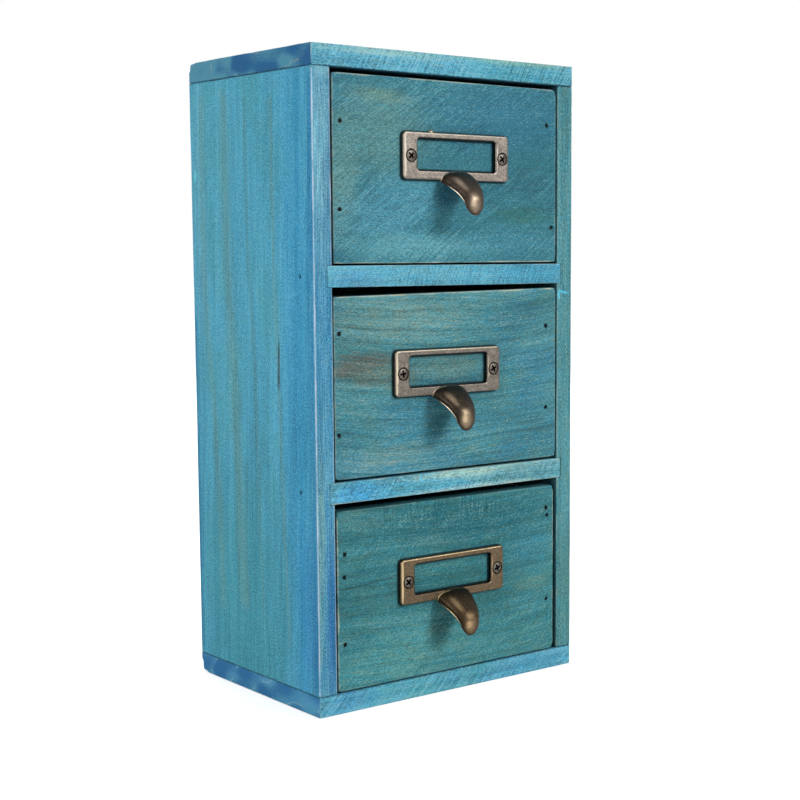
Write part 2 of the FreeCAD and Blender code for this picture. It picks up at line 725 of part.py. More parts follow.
def build_drawer(name, floor, bay, raise_front="0", slope="0"):
    """One drawer: a front, two sides, a back, a floor in grooves and its fittings.

    The floor of its bay and the bay's height are expressions."""
    label = f"{name}_drawer"
    width = f"({OPENING} - Sizes.{name}_side_play)"
    left = f"(Sizes.{name}_shift - {width} / 2)"
    front_face = f"({CASE_FRONT} + Sizes.front_recess)"
    base = f"({floor} + Sizes.run_clearance)"
    length = f"({SHELF_DEPTH} - Sizes.front_recess - Sizes.rear_clearance)"
    side_length = f"({length} - Sizes.front_board)"
    box_height = f"({bay} - Sizes.run_clearance - Sizes.{name}_head_gap)"
    front_height = f"({box_height} - {raise_front})"
    side_height = f"({box_height} - {slope} / 2 - Sizes.side_drop)"
    groove_face = "Sizes.front_board"
    groove_low = f"(Sizes.groove_height - {raise_front})"
    inner_left = "(Sizes.drawer_side - Sizes.groove_depth)"

    # Front: its top follows the slope
    front = document.addObject("PartDesign::Body", f"{label}_front_blank")
    outline = four_sided(
        front, f"{label}_front_outline", "XZ_Plane", "0", "0", width,
        f"{front_height} - {slope} / 2", f"{front_height} + {slope} / 2",
    )
    pad(front, outline, "Sizes.front_board", True)
    round_edges(front, f"{label}_front_ease", lambda p: near(p.y, 0), "Sizes.edge_ease")
    groove = rectangle(
        front, f"{label}_front_groove", "XZ_Plane",
        inner_left, groove_low,
        f"{width} - 2 * {inner_left}", "Sizes.drawer_floor",
        f"-{groove_face}",
    )
    pocket(front, groove, "Sizes.groove_depth", True)
    place(front, left, front_face, f"{base} + {raise_front}")

    # Sides, from the front board to the rear end of the drawer
    side_blanks = {}
    side_places = {"left": left, "right": f"({left} + {width} - Sizes.drawer_side)"}
    for hand, start in side_places.items():
        side = document.addObject("PartDesign::Body", f"{label}_{hand}_blank")
        outline = rectangle(
            side, f"{label}_{hand}_outline", "YZ_Plane", "0", "0", side_length, side_height
        )
        pad(side, outline, "Sizes.drawer_side")
        is_left = hand == "left"
        groove = rectangle(
            side, f"{label}_{hand}_groove", "YZ_Plane",
            "-Sizes.overrun", "Sizes.groove_height",
            f"{side_length} - Sizes.drawer_back + Sizes.groove_depth + Sizes.overrun",
            "Sizes.drawer_floor",
            "Sizes.drawer_side" if is_left else "0",
        )
        pocket(side, groove, "Sizes.groove_depth", not is_left)
        place(side, start, f"{front_face} + Sizes.front_board", base)
        side_blanks[hand] = side

    # Back, between the sides
    back_width = f"({width} - 2 * Sizes.drawer_side)"
    back_face = f"({front_face} + {length} - Sizes.drawer_back)"
    back = document.addObject("PartDesign::Body", f"{label}_back_blank")
    outline = rectangle(
        back, f"{label}_back_outline", "XZ_Plane", "0", "0", back_width, side_height
    )
    pad(back, outline, "Sizes.drawer_back", True)
    groove = rectangle(
        back, f"{label}_back_groove", "XZ_Plane",
        "-Sizes.overrun", "Sizes.groove_height",
        f"{back_width} + 2 * Sizes.overrun", "Sizes.drawer_floor",
    )
    pocket(back, groove, "Sizes.groove_depth")
    place(back, f"{left} + Sizes.drawer_side", back_face, base)

    # Floor, in the grooves of all four boards
    clear = "Sizes.panel_clearance"
    floor_width = f"({width} - 2 * {inner_left} - 2 * {clear})"
    floor_start = f"(Sizes.front_board - Sizes.groove_depth + {clear})"
    floor_end = f"({length} - Sizes.drawer_back + Sizes.groove_depth - {clear})"
    panel = document.addObject("PartDesign::Body", f"{label}_floor_blank")
    outline = rectangle(
        panel, f"{label}_floor_outline", "XY_Plane", "0", "0",
        floor_width, f"{floor_end} - {floor_start}",
    )
    pad(panel, outline, "Sizes.drawer_floor")
    place(
        panel, f"{left} + {inner_left} + {clear}", f"{front_face} + {floor_start}",
        f"{base} + Sizes.groove_height",
    )
    keep(f"{label}_bottom", panel)

    # Nails through the front into the sides, and through the sides into the back
    front_starts = []
    for hand, sign, corner in (("left", 1, left), ("right", -1, f"({left} + {width})")):
        for inset_share, height_share in FRONT_NAIL_SHARES[name][hand]:
            across = f"{corner} + {sign} * {inset_share} * Sizes.drawer_side"
            height = f"{base} + {raise_front} + {height_share} * {front_height}"
            front_starts.append(((across, front_face, height), "rear"))
    front_bores = nail_group(f"{label}_front_nails", front_starts, "Sizes.long_nail")
    back_starts = []
    for start, drive in ((left, "right"), (f"{left} + {width}", "left")):
        for share in BACK_NAIL_HEIGHT_SHARES:
            height = f"{base} + {share} * {side_height}"
            back_starts.append(((start, f"{back_face} + Sizes.drawer_back / 2", height), drive))
    back_bores = nail_group(f"{label}_back_nails", back_starts, "Sizes.long_nail")

    # Label holder and its two screws
    holder_x = f"(Sizes.{name}_shift + Sizes.{name}_label_shift)"
    holder_z = f"({base} + {raise_front} + {front_height} / 2 + Sizes.{name}_label_raise)"
    label_holder(f"{name}_label_holder", holder_x, front_face, holder_z)
    screw_face = f"({front_face} - Sizes.plate_thickness)"
    screws = []
    pilots = []
    for sign, turn in zip((-1, 1), SCREW_TURNS[name]):
        screw, pilot = wood_screw(
            f"{name}_screw_{len(screws)}",
            f"{holder_x} + {sign} * {SCREW_SPACING} / 2", screw_face, holder_z, turn,
        )
        screws.append(screw)
        pilots.append(pilot)
    keep(f"{name}_holder_screws", compound(f"{name}_screw_set", screws))
    pilot_bores = compound(f"{name}_pilot_bores", pilots)

    drilled(f"{label}_front", front, [front_bores, pilot_bores])
    for hand, side in side_blanks.items():
        drilled(f"{label}_{hand}_side", side, [front_bores, back_bores])
    drilled(f"{label}_back", back, [back_bores])


build_case()
build_drawer("top", TOP_FLOOR, TOP_BAY, "Sizes.top_front_raise")
build_drawer(
    "middle", MIDDLE_FLOOR, "Sizes.middle_bay",
    "Sizes.middle_front_raise", "Sizes.middle_front_slope",
)
build_drawer("bottom", "Sizes.case_board", "Sizes.bottom_bay")
document.recompute()

for item in document.Objects:
    if "Invalid" in item.State or "Error" in item.State:
        raise ValueError(f"{item.Name} could not be made: {item.State}")

os.makedirs("parts", exist_ok=True)
for label, item in pieces.items():
    shape = item.Shape
    if shape.isNull() or not shape.isValid():
        raise ValueError(f"{label} has no valid shape")
    shape.exportStep(f"parts/{label}.step")
print(f"{len(pieces)} nodes")
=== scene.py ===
import json
import math

import bpy
import numpy as np
from mathutils import Matrix, Vector


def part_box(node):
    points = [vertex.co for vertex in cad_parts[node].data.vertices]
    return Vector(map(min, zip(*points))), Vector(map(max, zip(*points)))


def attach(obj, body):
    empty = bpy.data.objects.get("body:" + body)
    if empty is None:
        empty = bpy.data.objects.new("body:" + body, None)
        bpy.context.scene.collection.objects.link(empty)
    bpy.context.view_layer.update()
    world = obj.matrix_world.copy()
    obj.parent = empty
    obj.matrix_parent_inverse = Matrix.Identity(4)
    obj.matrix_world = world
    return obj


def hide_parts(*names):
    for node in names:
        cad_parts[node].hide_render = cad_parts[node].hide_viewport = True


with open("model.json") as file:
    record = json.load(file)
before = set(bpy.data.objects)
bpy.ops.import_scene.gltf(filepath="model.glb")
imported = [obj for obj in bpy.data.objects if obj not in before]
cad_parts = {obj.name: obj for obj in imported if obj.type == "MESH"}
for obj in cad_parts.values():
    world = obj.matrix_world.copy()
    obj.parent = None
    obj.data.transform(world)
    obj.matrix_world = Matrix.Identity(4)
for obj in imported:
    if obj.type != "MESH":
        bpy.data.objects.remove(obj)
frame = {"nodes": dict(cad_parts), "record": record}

# Looks of the desktop mini drawers: worn stained boards, cast label holders with
# finger pulls, cross-recess screws and sunk nails. Lengths are in millimetres
# here, and each finished mesh is scaled to metres.

MM = 0.001
X, Y, Z = 0, 1, 2
RIGHT, BACK, UP = np.eye(3)
DRAWERS = ("top", "middle", "bottom")
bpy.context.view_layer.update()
BODY_OF = {node: body for body, nodes in frame["record"]["behaviour"]["bodies"].items()
           for node in nodes}


# Mesh tools

def cad_box(node):
    """A node's box in millimetres, as two arrays."""
    low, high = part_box(node)
    return np.array(low) / MM, np.array(high) / MM


def lattice(cell, seed):
    """A fixed random number from 0 to 1 for each whole-number cell."""
    mixed = cell @ np.array([73856093, 19349663, 83492791]) + seed * 1013904223
    mixed = ((mixed ^ (mixed >> 13)) * 1274126177) & 0x7FFFFFFF
    mixed = ((mixed ^ (mixed >> 11)) * 668265263) & 0x7FFFFFFF
    return (mixed ^ (mixed >> 15)) % 65536 / 65535.0


def smooth_noise(points, scale, seed):
    """Smooth noise from 0 to 1, with cells of the given size in millimetres."""
    scaled = points / np.asarray(scale, float) + 1000.5
    cell = np.floor(scaled).astype(np.int64)
    part = scaled - cell
    part = part * part * (3 - 2 * part)
    total = np.zeros(len(points))
    for corner in np.ndindex(2, 2, 2):
        weight = np.where(np.array(corner) == 1, part, 1 - part).prod(axis=1)
        total += weight * lattice(cell + np.array(corner), seed)
    return total


def make_object(name, points, faces):
    """A mesh object from points in millimetres."""
    mesh = bpy.data.meshes.new(name)
    mesh.from_pydata(np.asarray(points).tolist(), [], [list(map(int, f)) for f in faces])
    mesh.validate()
    item = bpy.data.objects.new(name, mesh)
    bpy.context.scene.collection.objects.link(item)
    return item


def joined(parts):
    """Several (points, faces) pairs as one."""
    points, faces, count = [], [], 0
    for some_points, some_faces in parts:
        points.append(np.asarray(some_points, float))
        faces.extend([[int(i) + count for i in face] for face in some_faces])
        count += len(some_points)
    return np.concatenate(points), faces


def boolean(target, tool_parts, operation="DIFFERENCE"):
    """Cut the tools from a mesh, or join them to it."""
    tool = make_object("tool", *joined(tool_parts))
    modifier = target.modifiers.new("boolean", "BOOLEAN")
    modifier.operation = operation
    modifier.solver = "MANIFOLD"
    modifier.object = tool
    graph = bpy.context.evaluated_depsgraph_get()
    result = bpy.data.meshes.new_from_object(target.evaluated_get(graph))
    target.modifiers.clear()
    before, target.data = target.data, result
    bpy.data.meshes.remove(before)
    tool_mesh = tool.data
    bpy.data.objects.remove(tool)
    bpy.data.meshes.remove(tool_mesh)


def corners_of(item):
    """The mesh's points as an array."""
    flat = np.zeros(len(item.data.vertices) * 3, np.float32)
    item.data.vertices.foreach_get("co", flat)
    return flat.reshape(-1, 3).astype(float)


def taken_out(item):
    """The mesh of an object that is removed again, as points and faces."""
    points, faces = corners_of(item), [tuple(face.vertices) for face in item.data.polygons]
    bpy.data.objects.remove(item)
    return points, faces


def write_attribute(item, name, values):
    """Keep a number per point for the material."""
    attribute = item.data.attributes.new(name, "FLOAT", "POINT")
    attribute.data.foreach_set("value", np.asarray(values, np.float32))


def finish_piece(item, nodes, material, sharp=35):
    """Scale a piece to metres, shade it, and let it ride in place of its CAD nodes."""
    item.data.transform(Matrix.Scale(MM, 4))
    item.data.shade_smooth()
    item.data.set_sharp_from_angle(angle=math.radians(sharp))
    item.data.materials.clear()
    item.data.materials.append(material)
    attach(item, BODY_OF[nodes[0]])
    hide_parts(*nodes)
    return item


def turns(count):
    """The angles of equal steps round a circle."""
    return np.linspace(0, 2 * math.pi, count + 1)[:-1]


def circle(centre, radius, side, up, count):
    """Points round a centre, in the plane of two directions. The radius is one number or
    one for each point."""
    angles = turns(count)[:, None]
    reach = np.reshape(radius, (-1, 1))
    return centre + reach * (np.cos(angles) * side + np.sin(angles) * up)


def box_tool(low, high):
    """A box as points and faces."""
    points = [(x, y, z) for x in (low[0], high[0]) for y in (low[1], high[1])
              for z in (low[2], high[2])]
    faces = [(0, 1, 3, 2), (4, 6, 7, 5), (0, 4, 5, 1), (2, 3, 7, 6), (0, 2, 6, 4), (1, 5, 7, 3)]
    return points, faces


def facing_out(points, faces):
    """A closed skin with all its faces turned over if it encloses a negative volume."""
    volume = 0.0
    for face in faces:
        for a, b in zip(face[1:-1], face[2:]):
            volume += np.dot(points[face[0]], np.cross(points[a], points[b]))
    return points, ([tuple(face)[::-1] for face in faces] if volume < 0 else faces)


def ring_loft(rings, closed=False):
    """A skin through rings with equally many points, capped at both ends or closed in a
    circle."""
    rings = [np.asarray(ring, float) for ring in rings]
    count = len(rings[0])
    faces = []
    steps = len(rings) if closed else len(rings) - 1
    for step in range(steps):
        base, over = step * count, (step + 1) % len(rings) * count
        for i in range(count):
            j = (i + 1) % count
            faces.append((base + i, base + j, over + j, over + i))
    if not closed:
        faces.append(tuple(range(count))[::-1])
        last = (len(rings) - 1) * count
        faces.append(tuple(range(last, last + count)))
    return facing_out(np.concatenate(rings), faces)


# Boards

EDGE_ROUND = 0.42
DENT_SPACING, DENT_DEPTH = 3.2, 0.55
FACE_SINK, FINE_SINK = 0.07, 0.03
CORNER_REACH = 3.0
REAR_REACH = 6
ACROSS_CELL, ALONG_CELL = 5.0, 45.0
GRID_CROWD = np.array([0, 0.18, 0.42, 0.7, 1.0, 1.6, 2.4, 3.4])


def grid_lines(low, high, step):
    """Places of the grid lines across one side of a board, crowded near its ends."""
    start = low + GRID_CROWD * EDGE_ROUND
    end = high - GRID_CROWD[::-1] * EDGE_ROUND
    count = max(2, int(round((end[0] - start[-1]) / step)))
    middle = np.linspace(start[-1], end[0], count + 1)[1:-1]
    return np.concatenate([start, middle, end])


def grid_shell(lines):
    """The skin of a box on three sets of grid lines."""
    shape = [len(line) for line in lines]
    skin = np.ones(shape, bool)
    skin[1:-1, 1:-1, 1:-1] = False
    index = np.full(shape, -1)
    index[skin] = np.arange(skin.sum())
    i, j, k = np.nonzero(skin)
    points = np.stack([lines[0][i], lines[1][j], lines[2][k]], 1)
    faces = []
    for axis in range(3):
        for side in (0, -1):
            sheet = index.take(side, axis=axis)
            quads = np.stack([sheet[:-1, :-1], sheet[1:, :-1], sheet[1:, 1:], sheet[:-1, 1:]], -1)
            quads = quads.reshape(-1, 4)
            if (side == 0) != (axis == 1):
                quads = quads[:, ::-1]
            faces.append(quads)
    return points, np.concatenate(faces)


def sloped(points, low, high, slope, undo=False):
    """Move the top of a board to its two heights, left and right, or back from them."""
    if slope is None:
        return points
    share = (points[:, X] - low[X]) / (high[X] - low[X])
    top = slope[0] + (slope[1] - slope[0]) * share
    scale = (top - low[Z]) / (high[Z] - low[Z])
    moved = points.copy()
    moved[:, Z] = low[Z] + (points[:, Z] - low[Z]) * (1 / scale if undo else scale)
    return moved


def worn_box(low, high, grain, step, seed, rear_round, wear, corner):
    """A board's skin: eased uneven edges with small dents, and slightly uneven faces."""
    points, faces = grid_shell([grid_lines(low[a], high[a], step) for a in range(3)])
    radius = EDGE_ROUND * (0.7 + 0.6 * smooth_noise(points, 7.0, seed))
    dents = np.clip((smooth_noise(points, DENT_SPACING, seed + 1) - 0.8) / 0.2, 0, 1)
    radius += DENT_DEPTH * wear * dents
    if rear_round:
        outer = (points[:, Z] > (low[Z] + high[Z]) / 2) == (rear_round > 0)
        rear = np.clip((points[:, Y] - (high[Y] - REAR_REACH)) / 3, 0, 1)
        radius = np.where(outer, radius + (abs(rear_round) - radius) * rear, radius)
    if corner:
        inside = np.minimum(points - low, high - points)
        near = np.clip((CORNER_REACH - np.maximum(inside[:, X], inside[:, Z])) / 1.8, 0, 1)
        uneven = corner * (0.6 + 0.8 * smooth_noise(points, 30.0, seed + 5))
        radius += (uneven - radius) * near * near * (3 - 2 * near)
    radius = np.minimum(radius, (high - low).min() * 0.4)
    core = np.clip(points, low + radius[:, None], high - radius[:, None])
    arm = points - core
    normal = arm / np.linalg.norm(arm, axis=1)[:, None]
    stretch = np.full(3, ACROSS_CELL)
    stretch[grain] = ALONG_CELL
    sink = FACE_SINK * smooth_noise(points, stretch, seed + 2)
    sink += FINE_SINK * smooth_noise(points, stretch / 2.5, seed + 3)
    return core + normal * (radius - sink)[:, None], faces


def edge_distance(points, low, high):
    """How far each point of a board's skin is from the board's nearest edge."""
    gaps = np.sort(np.minimum(np.abs(points - low), np.abs(high - points)), axis=1)
    return gaps[:, 1]


def rubbed_share(points, low, high, shares):
    """How much of a board's wear each point has, from the shares of the left, right,
    lower and upper edges."""
    gaps = np.stack([points[:, X] - low[X], high[X] - points[:, X],
                     points[:, Z] - low[Z], high[Z] - points[:, Z]])
    nearness = 1 / (np.maximum(gaps, 0) + 0.4) ** 3
    return (np.array(shares)[:, None] * nearness).sum(axis=0) / nearness.sum(axis=0)


NAIL_NODES = {
    "top_board_nails": Z, "bottom_board_nails": Z, "divider_nails": X, "back_panel_nails": Y,
    **{f"{name}_drawer_front_nails": Y for name in DRAWERS},
    **{f"{name}_drawer_back_nails": X for name in DRAWERS},
}
LET_IN_NODES = (
    "lower_divider", "upper_divider", "back_panel",
    *(f"{name}_drawer_bottom" for name in DRAWERS),
)
GROOVE_ROOM, NAIL_REACH, LEAST_OVERLAP = 0.05, 0.6, 0.15
FAR = 99.0


def nails_of(node, axis):
    """Each nail of a node as (head end, point end) in millimetres."""
    points = corners_of(frame["nodes"][node]) / MM
    groups = []
    for point in points:
        for group in groups:
            gap = np.delete(point - group[0], axis)
            if np.abs(gap).max() < 2.5 and point[axis] * group[0][axis] > 0:
                group.append(point)
                break
        else:
            groups.append([point])
    nails = []
    for group in groups:
        group = np.array(group)
        centre = (group.min(0) + group.max(0)) / 2
        ends = []
        for value in (group[:, axis].min(), group[:, axis].max()):
            near_end = group[np.abs(group[:, axis] - value) < 0.2]
            spread = np.delete(near_end - centre, axis, 1)
            place = centre.copy()
            place[axis] = value
            ends.append((np.abs(spread).max(), place))
        ends.sort(key=lambda end: -end[0])
        nails.append((ends[0][1], ends[1][1]))
    return nails


NAILS = [nail for node, axis in NAIL_NODES.items() for nail in nails_of(node, axis)]
NAIL_BORE_RADIUS, NAIL_BORE_SIDES, SCREW_BORE_SIDES, COUNTERSINK_SIDES = 0.78, 12, 16, 32


def nail_tool(nail, seed):
    """The bore of a nail, with an uneven mouth where the head went through the surface."""
    head, point = nail
    along = (head - point) / np.linalg.norm(head - point)
    side = np.cross(along, (0.3, 0.5, 0.8))
    side /= np.linalg.norm(side)
    other = np.cross(along, side)
    rng = np.random.default_rng(seed)
    ragged = 1 + 0.22 * (rng.random(NAIL_BORE_SIDES) - 0.35)
    rings = []
    stations = (
        (point - along * 0.3, 0.5, 0),
        (head - along * 2.0, 1.0, 0),
        (head + along * 0.25, 1.0, 0.3),
        (head + along * 0.55, 1.12, 1.0),
        (head + along * 1.6, 1.3, 1.0),
    )
    for centre, share, rough in stations:
        radius = NAIL_BORE_RADIUS * share * (1 + (ragged - 1) * rough)
        rings.append(circle(centre, radius, side, other, NAIL_BORE_SIDES))
    return ring_loft(rings)


def chip_tool(centre, radii, seed):
    """A rough lump that takes a chip out of an edge."""
    rng = np.random.default_rng(seed)
    rings = []
    for up in np.linspace(-0.95, 0.95, 5):
        wide = math.sqrt(1 - up * up)
        ring = [(math.cos(a) * wide * (0.8 + 0.4 * rng.random()),
                 math.sin(a) * wide * (0.8 + 0.4 * rng.random()), up)
                for a in turns(8)]
        rings.append(np.array(ring) * radii + centre)
    return ring_loft(rings)


def boxes_meet(low, high, other_low, other_high):
    """Whether two boxes overlap by more than a little."""
    shared = np.minimum(high, other_high) - np.maximum(low, other_low)
    return bool((shared > LEAST_OVERLAP).all())


def board(node, grain, material, step, seed, slope=None, rear_round=None, wear=1.0,
          chips=(), seams=(), corner=0.0, rub=(1, 1, 1, 1)):
    """A worn board in place of a CAD node, with its grooves, bores and chips. The seams
    are the sides that meet another board, and the rub is each edge's share of wear."""
    low, high = cad_box(node)
    points, faces = worn_box(low, high, grain, step, seed, rear_round, wear, corner)
    item = make_object(f"worn_{node}", sloped(points, low, high, slope), faces)
    for other in LET_IN_NODES:
        other_low, other_high = cad_box(other)
        if other != node and boxes_meet(low, high, other_low, other_high):
            boolean(item, [box_tool(other_low - GROOVE_ROOM, other_high + GROOVE_ROOM)])
    bores = []
    for number, nail in enumerate(NAILS):
        ends = np.array(nail)
        if boxes_meet(low, high, ends.min(0) - NAIL_REACH, ends.max(0) + NAIL_REACH):
            bores.append(nail_tool(nail, 100 + number))
    for name in DRAWERS:
        if node == f"{name}_drawer_front":
            bores += [screw_bore(centre) for centre in screw_places(name)]
    bores += [chip_tool(np.array(c), np.array(r), seed + 50) for c, r in chips]
    if bores:
        boolean(item, bores)
    level = sloped(corners_of(item), low, high, slope, undo=True)
    write_attribute(item, "edge", edge_distance(level, low, high))
    write_attribute(item, "worn", rubbed_share(level, low, high, rub))
    points = corners_of(item)
    gaps = [np.abs(points[:, axis] - (high if upper else low)[axis]) for axis, upper in seams]
    write_attribute(item, "seam", np.min(gaps, axis=0) if gaps else np.full(len(points), FAR))
    return finish_piece(item, [node], material)


# Label holders and screws

PLATE_WIDTH, PLATE_HEIGHT, PLATE_THICKNESS = 54.2, 18.9, 2.2
PLATE_CORNER, PLATE_EASE, EASE_ACROSS, EASE_UP = 1.8, 1.2, 1.2, 0.6
SIDE_RAIL, TOP_RAIL, BOTTOM_RAIL, SCREW_REACH = 7.0, 2.6, 3.9, 23.4
WINDOW_CORNER, WINDOW_EASE, REAR_EASE = 1.2, 0.75, 0.12
CARD_SLOT_DEPTH, CARD_SLOT_LIP = 0.7, 1.3
PULL_WIDTH, PULL_REACH, PULL_DROP, PULL_WALL, PULL_RAISE = 18.4, 14.9, 18.05, 1.1, 0.2
SCREW_HEAD, SCREW_SHANK, SCREW_DOME, SCREW_LENGTH, SCREW_POINT = 5.0, 2.4, 0.5, 9.0, 2.2
DOME_BALL = ((SCREW_HEAD / 2) ** 2 + SCREW_DOME ** 2) / (2 * SCREW_DOME)
COUNTERSINK_MOUTH = 2.75
# Rings of the cone cut for a screw head, as (depth, radius).
COUNTERSINK_RINGS = (
    (0.5, 1.3), (-0.45, 1.32), (-1.75, 2.62), (-2.1, COUNTERSINK_MOUTH), (-2.9, 2.9),
)
PLATE_BOX = (-PLATE_WIDTH / 2, PLATE_WIDTH / 2, -PLATE_HEIGHT / 2, PLATE_HEIGHT / 2)
WINDOW_BOX = (PLATE_BOX[0] + SIDE_RAIL, PLATE_BOX[1] - SIDE_RAIL,
              PLATE_BOX[2] + BOTTOM_RAIL, PLATE_BOX[3] - TOP_RAIL)
SCREW_ROOM, HOLLOW_SKIRT = 0.1, 1.2
RIM_INSET, RIM_RADIUS, RIM_SIDES = 0.12, 0.27, 8
BURR_SIZE = (1.5, 0.7, 1.0)
DULL_GAP = 0.8
# How bright the left, right, lower and upper edges of plate and window are: polish from
# hands and painted highlight on the plate, where its edges face the light, and painted
# highlight alone on the window's right edge.
PLATE_POLISH_AND_HIGHLIGHT = (1.0, 0.2, 0.3, 0.72)
WINDOW_HIGHLIGHT = (0.0, 0.72, 0.0, 0.0)
SCREW_SIDES, SCREW_CORE = 20, SCREW_SHANK / 2 - 0.28
THREAD_PITCH, THREAD_DEPTH, THREAD_TOP, THREAD_RINGS = 0.9, 0.26, -1.35, 56
# Rings from the shank to the head's rim as (radius, height), then the dome's radii.
HEAD_RINGS = (
    (1.1, -1.3), (SCREW_HEAD / 2 - 0.1, -0.12), (SCREW_HEAD / 2, -0.05),
    (SCREW_HEAD / 2 - 0.02, 0.03),
)
DOME_RINGS = (2.35, 2.15, 1.95, 1.7, 1.4, 1.0, 0.5, 0.1)
# The cross recess: height, half length and half width at the bars' three levels.
CROSS_BARS = ((-0.7, 0.9, 0.26), (0.2, 1.55, 0.42), (1.0, 1.9, 0.48))
# How far the crosses of the left and the right screw are turned, in degrees.
SCREW_TURNS = {"top": (45, 38), "middle": (8, 28), "bottom": (40, 24)}
# The finger pull's sections from root to tip, as shares of half its width, of its
# reach and of its drop: half width, lip reach, lip drop, crown reach, crown drop.
PULL_STATION_SHARES = np.array((
    (0.960, 0.055, 0.222, 0.100, 0.000),
    (0.860, 0.275, 0.318, 0.389, 0.118),
    (0.760, 0.497, 0.420, 0.651, 0.273),
    (0.650, 0.691, 0.544, 0.879, 0.442),
    (0.525, 0.826, 0.696, 0.993, 0.634),
    (0.440, 0.883, 0.842, 0.983, 0.837),
    (0.265, 0.900, 0.949, 0.950, 0.946),
    (0.150, 0.905, 0.986, 0.933, 0.985),
    (0.050, 0.907, 1.000, 0.922, 1.000),
))


def screw_places(name):
    """Centres of a holder's two screws, on the plane of their rims."""
    low, high = cad_box(f"{name}_holder_screws")
    half = SCREW_HEAD / 2
    height = (low[Z] + high[Z]) / 2
    return [np.array((x, low[Y] + SCREW_DOME, height)) for x in (low[X] + half, high[X] - half)]


def screw_bore(centre):
    """The pilot bore of a screw, seen from the front."""
    radius = SCREW_SHANK / 2 + SCREW_ROOM
    return ring_loft([circle(centre + BACK * depth, radius, RIGHT, UP, SCREW_BORE_SIDES)
                      for depth in (0.5, SCREW_LENGTH + SCREW_ROOM)])


def rounded_loop(left, right, low, high, corner, depth):
    """A rounded rectangle of points round the plate at one depth."""
    points = []
    corners = ((right - corner, high - corner, 0), (left + corner, high - corner, 90),
               (left + corner, low + corner, 180), (right - corner, low + corner, 270))
    for number, (x, z, start) in enumerate(corners):
        for step in range(9):
            angle = math.radians(start + 90 * step / 8)
            points.append((x + corner * math.cos(angle), depth, z + corner * math.sin(angle)))
        nx, nz, turn = corners[(number + 1) % 4]
        from_point = np.array(points[-1])
        angle = math.radians(turn)
        to_point = np.array((nx + corner * math.cos(angle), depth, nz + corner * math.sin(angle)))
        count = 24 if number % 2 == 0 else 10
        for step in range(1, count):
            points.append(tuple(from_point + (to_point - from_point) * step / count))
    return np.array(points)


def plate_skin():
    """The plate round its window: a closed band of loops, seen from the front as -Y."""
    def outline(box, corner, inset, depth, across=1.0, up=1.0):
        left, right, low, high = box
        return rounded_loop(left + inset * across, right - inset * across, low + inset * up,
                            high - inset * up, max(corner - inset * up, 0.15), depth)

    front = -PLATE_THICKNESS
    loops = [outline(PLATE_BOX, PLATE_CORNER, inset, depth) for inset, depth in (
        (REAR_EASE, 0.0), (0.0, -REAR_EASE), (0.0, (front + PLATE_EASE) / 2))]
    for angle in np.radians((0, 18, 36, 54, 72, 90)):
        depth = front + PLATE_EASE * (1 - math.sin(angle))
        inset = 1 - math.cos(angle)
        loops.append(outline(PLATE_BOX, PLATE_CORNER, inset, depth, EASE_ACROSS, EASE_UP))
    face_outer = loops[-1]
    mouth = outline(WINDOW_BOX, WINDOW_CORNER, -WINDOW_EASE, front)
    for share in (0.08, 0.3, 0.7, 0.92, 1.0):
        loops.append(face_outer + (mouth - face_outer) * share)
    for angle in np.radians((30, 60, 90)):
        inset = -WINDOW_EASE * (1 - math.sin(angle))
        depth = front + WINDOW_EASE * (1 - math.cos(angle))
        loops.append(outline(WINDOW_BOX, WINDOW_CORNER, inset, depth))
    loops.append(outline(WINDOW_BOX, WINDOW_CORNER, 0.0, front / 2))
    loops.append(outline(WINDOW_BOX, WINDOW_CORNER, 0.0, 0.0))
    return ring_loft(loops, closed=True)


def pull_station(place):
    """One section's numbers at a place from 0, the root, to 8, the tip."""
    count = len(PULL_STATION_SHARES) - 1
    base = min(int(place), count - 1)
    t = place - base
    rows = [PULL_STATION_SHARES[min(max(base + k, 0), count)] for k in (-1, 0, 1, 2)]
    if base == 0:
        rows[0] = 2 * rows[1] - rows[2]
    if base == count - 1:
        rows[3] = 2 * rows[2] - rows[1]
    a, b, c, d = rows
    return 0.5 * (2 * b + (c - a) * t + (2 * a - 5 * b + 4 * c - d) * t * t
                  + (3 * b - a - 3 * c + d) * t ** 3)


def pull_section(place, inset=0.0, skirt=0.0, count=32):
    """The arch of one section, from the right lip over the crown to the left lip."""
    width, lip_reach, lip_drop, crown_reach, crown_drop = pull_station(place)
    root = BOTTOM_RAIL - PLATE_HEIGHT / 2 + PULL_RAISE
    lip = np.array((0, -lip_reach * PULL_REACH, root - lip_drop * PULL_DROP))
    crown = np.array((0, -crown_reach * PULL_REACH, root - crown_drop * PULL_DROP))
    rise = crown - lip
    length = np.linalg.norm(rise)
    rise = rise * (length - inset) / length
    half = max(width * PULL_WIDTH / 2 - inset, 0.05)
    power = 2.8 - 0.8 * lip_drop
    points = []
    for angle in np.linspace(0, math.pi, count + 1):
        side = math.copysign(abs(math.cos(angle)) ** (2 / power), math.cos(angle))
        height = abs(math.sin(angle)) ** (2 / power)
        points.append(lip + np.array((side * half, 0, 0)) + rise * height)
    if skirt:
        down = -rise / np.linalg.norm(rise) * skirt
        points.append(points[-1] + down)
        points.append(points[0] + down)
    return np.array(points)


def tube(path, radius, sides):
    """A closed tube along a path, tapered at both ends."""
    path = np.asarray(path, float)
    rings = []
    side = np.array((1.0, 0, 0))
    for number, point in enumerate(path):
        ahead = path[min(number + 1, len(path) - 1)] - path[max(number - 1, 0)]
        ahead /= np.linalg.norm(ahead)
        side = side - ahead * np.dot(side, ahead)
        side /= np.linalg.norm(side)
        up = np.cross(ahead, side)
        wide = radius * (0.35 if number in (0, len(path) - 1) else 1.0)
        rings.append(circle(point, wide, side, up, sides))
    return ring_loft(rings)


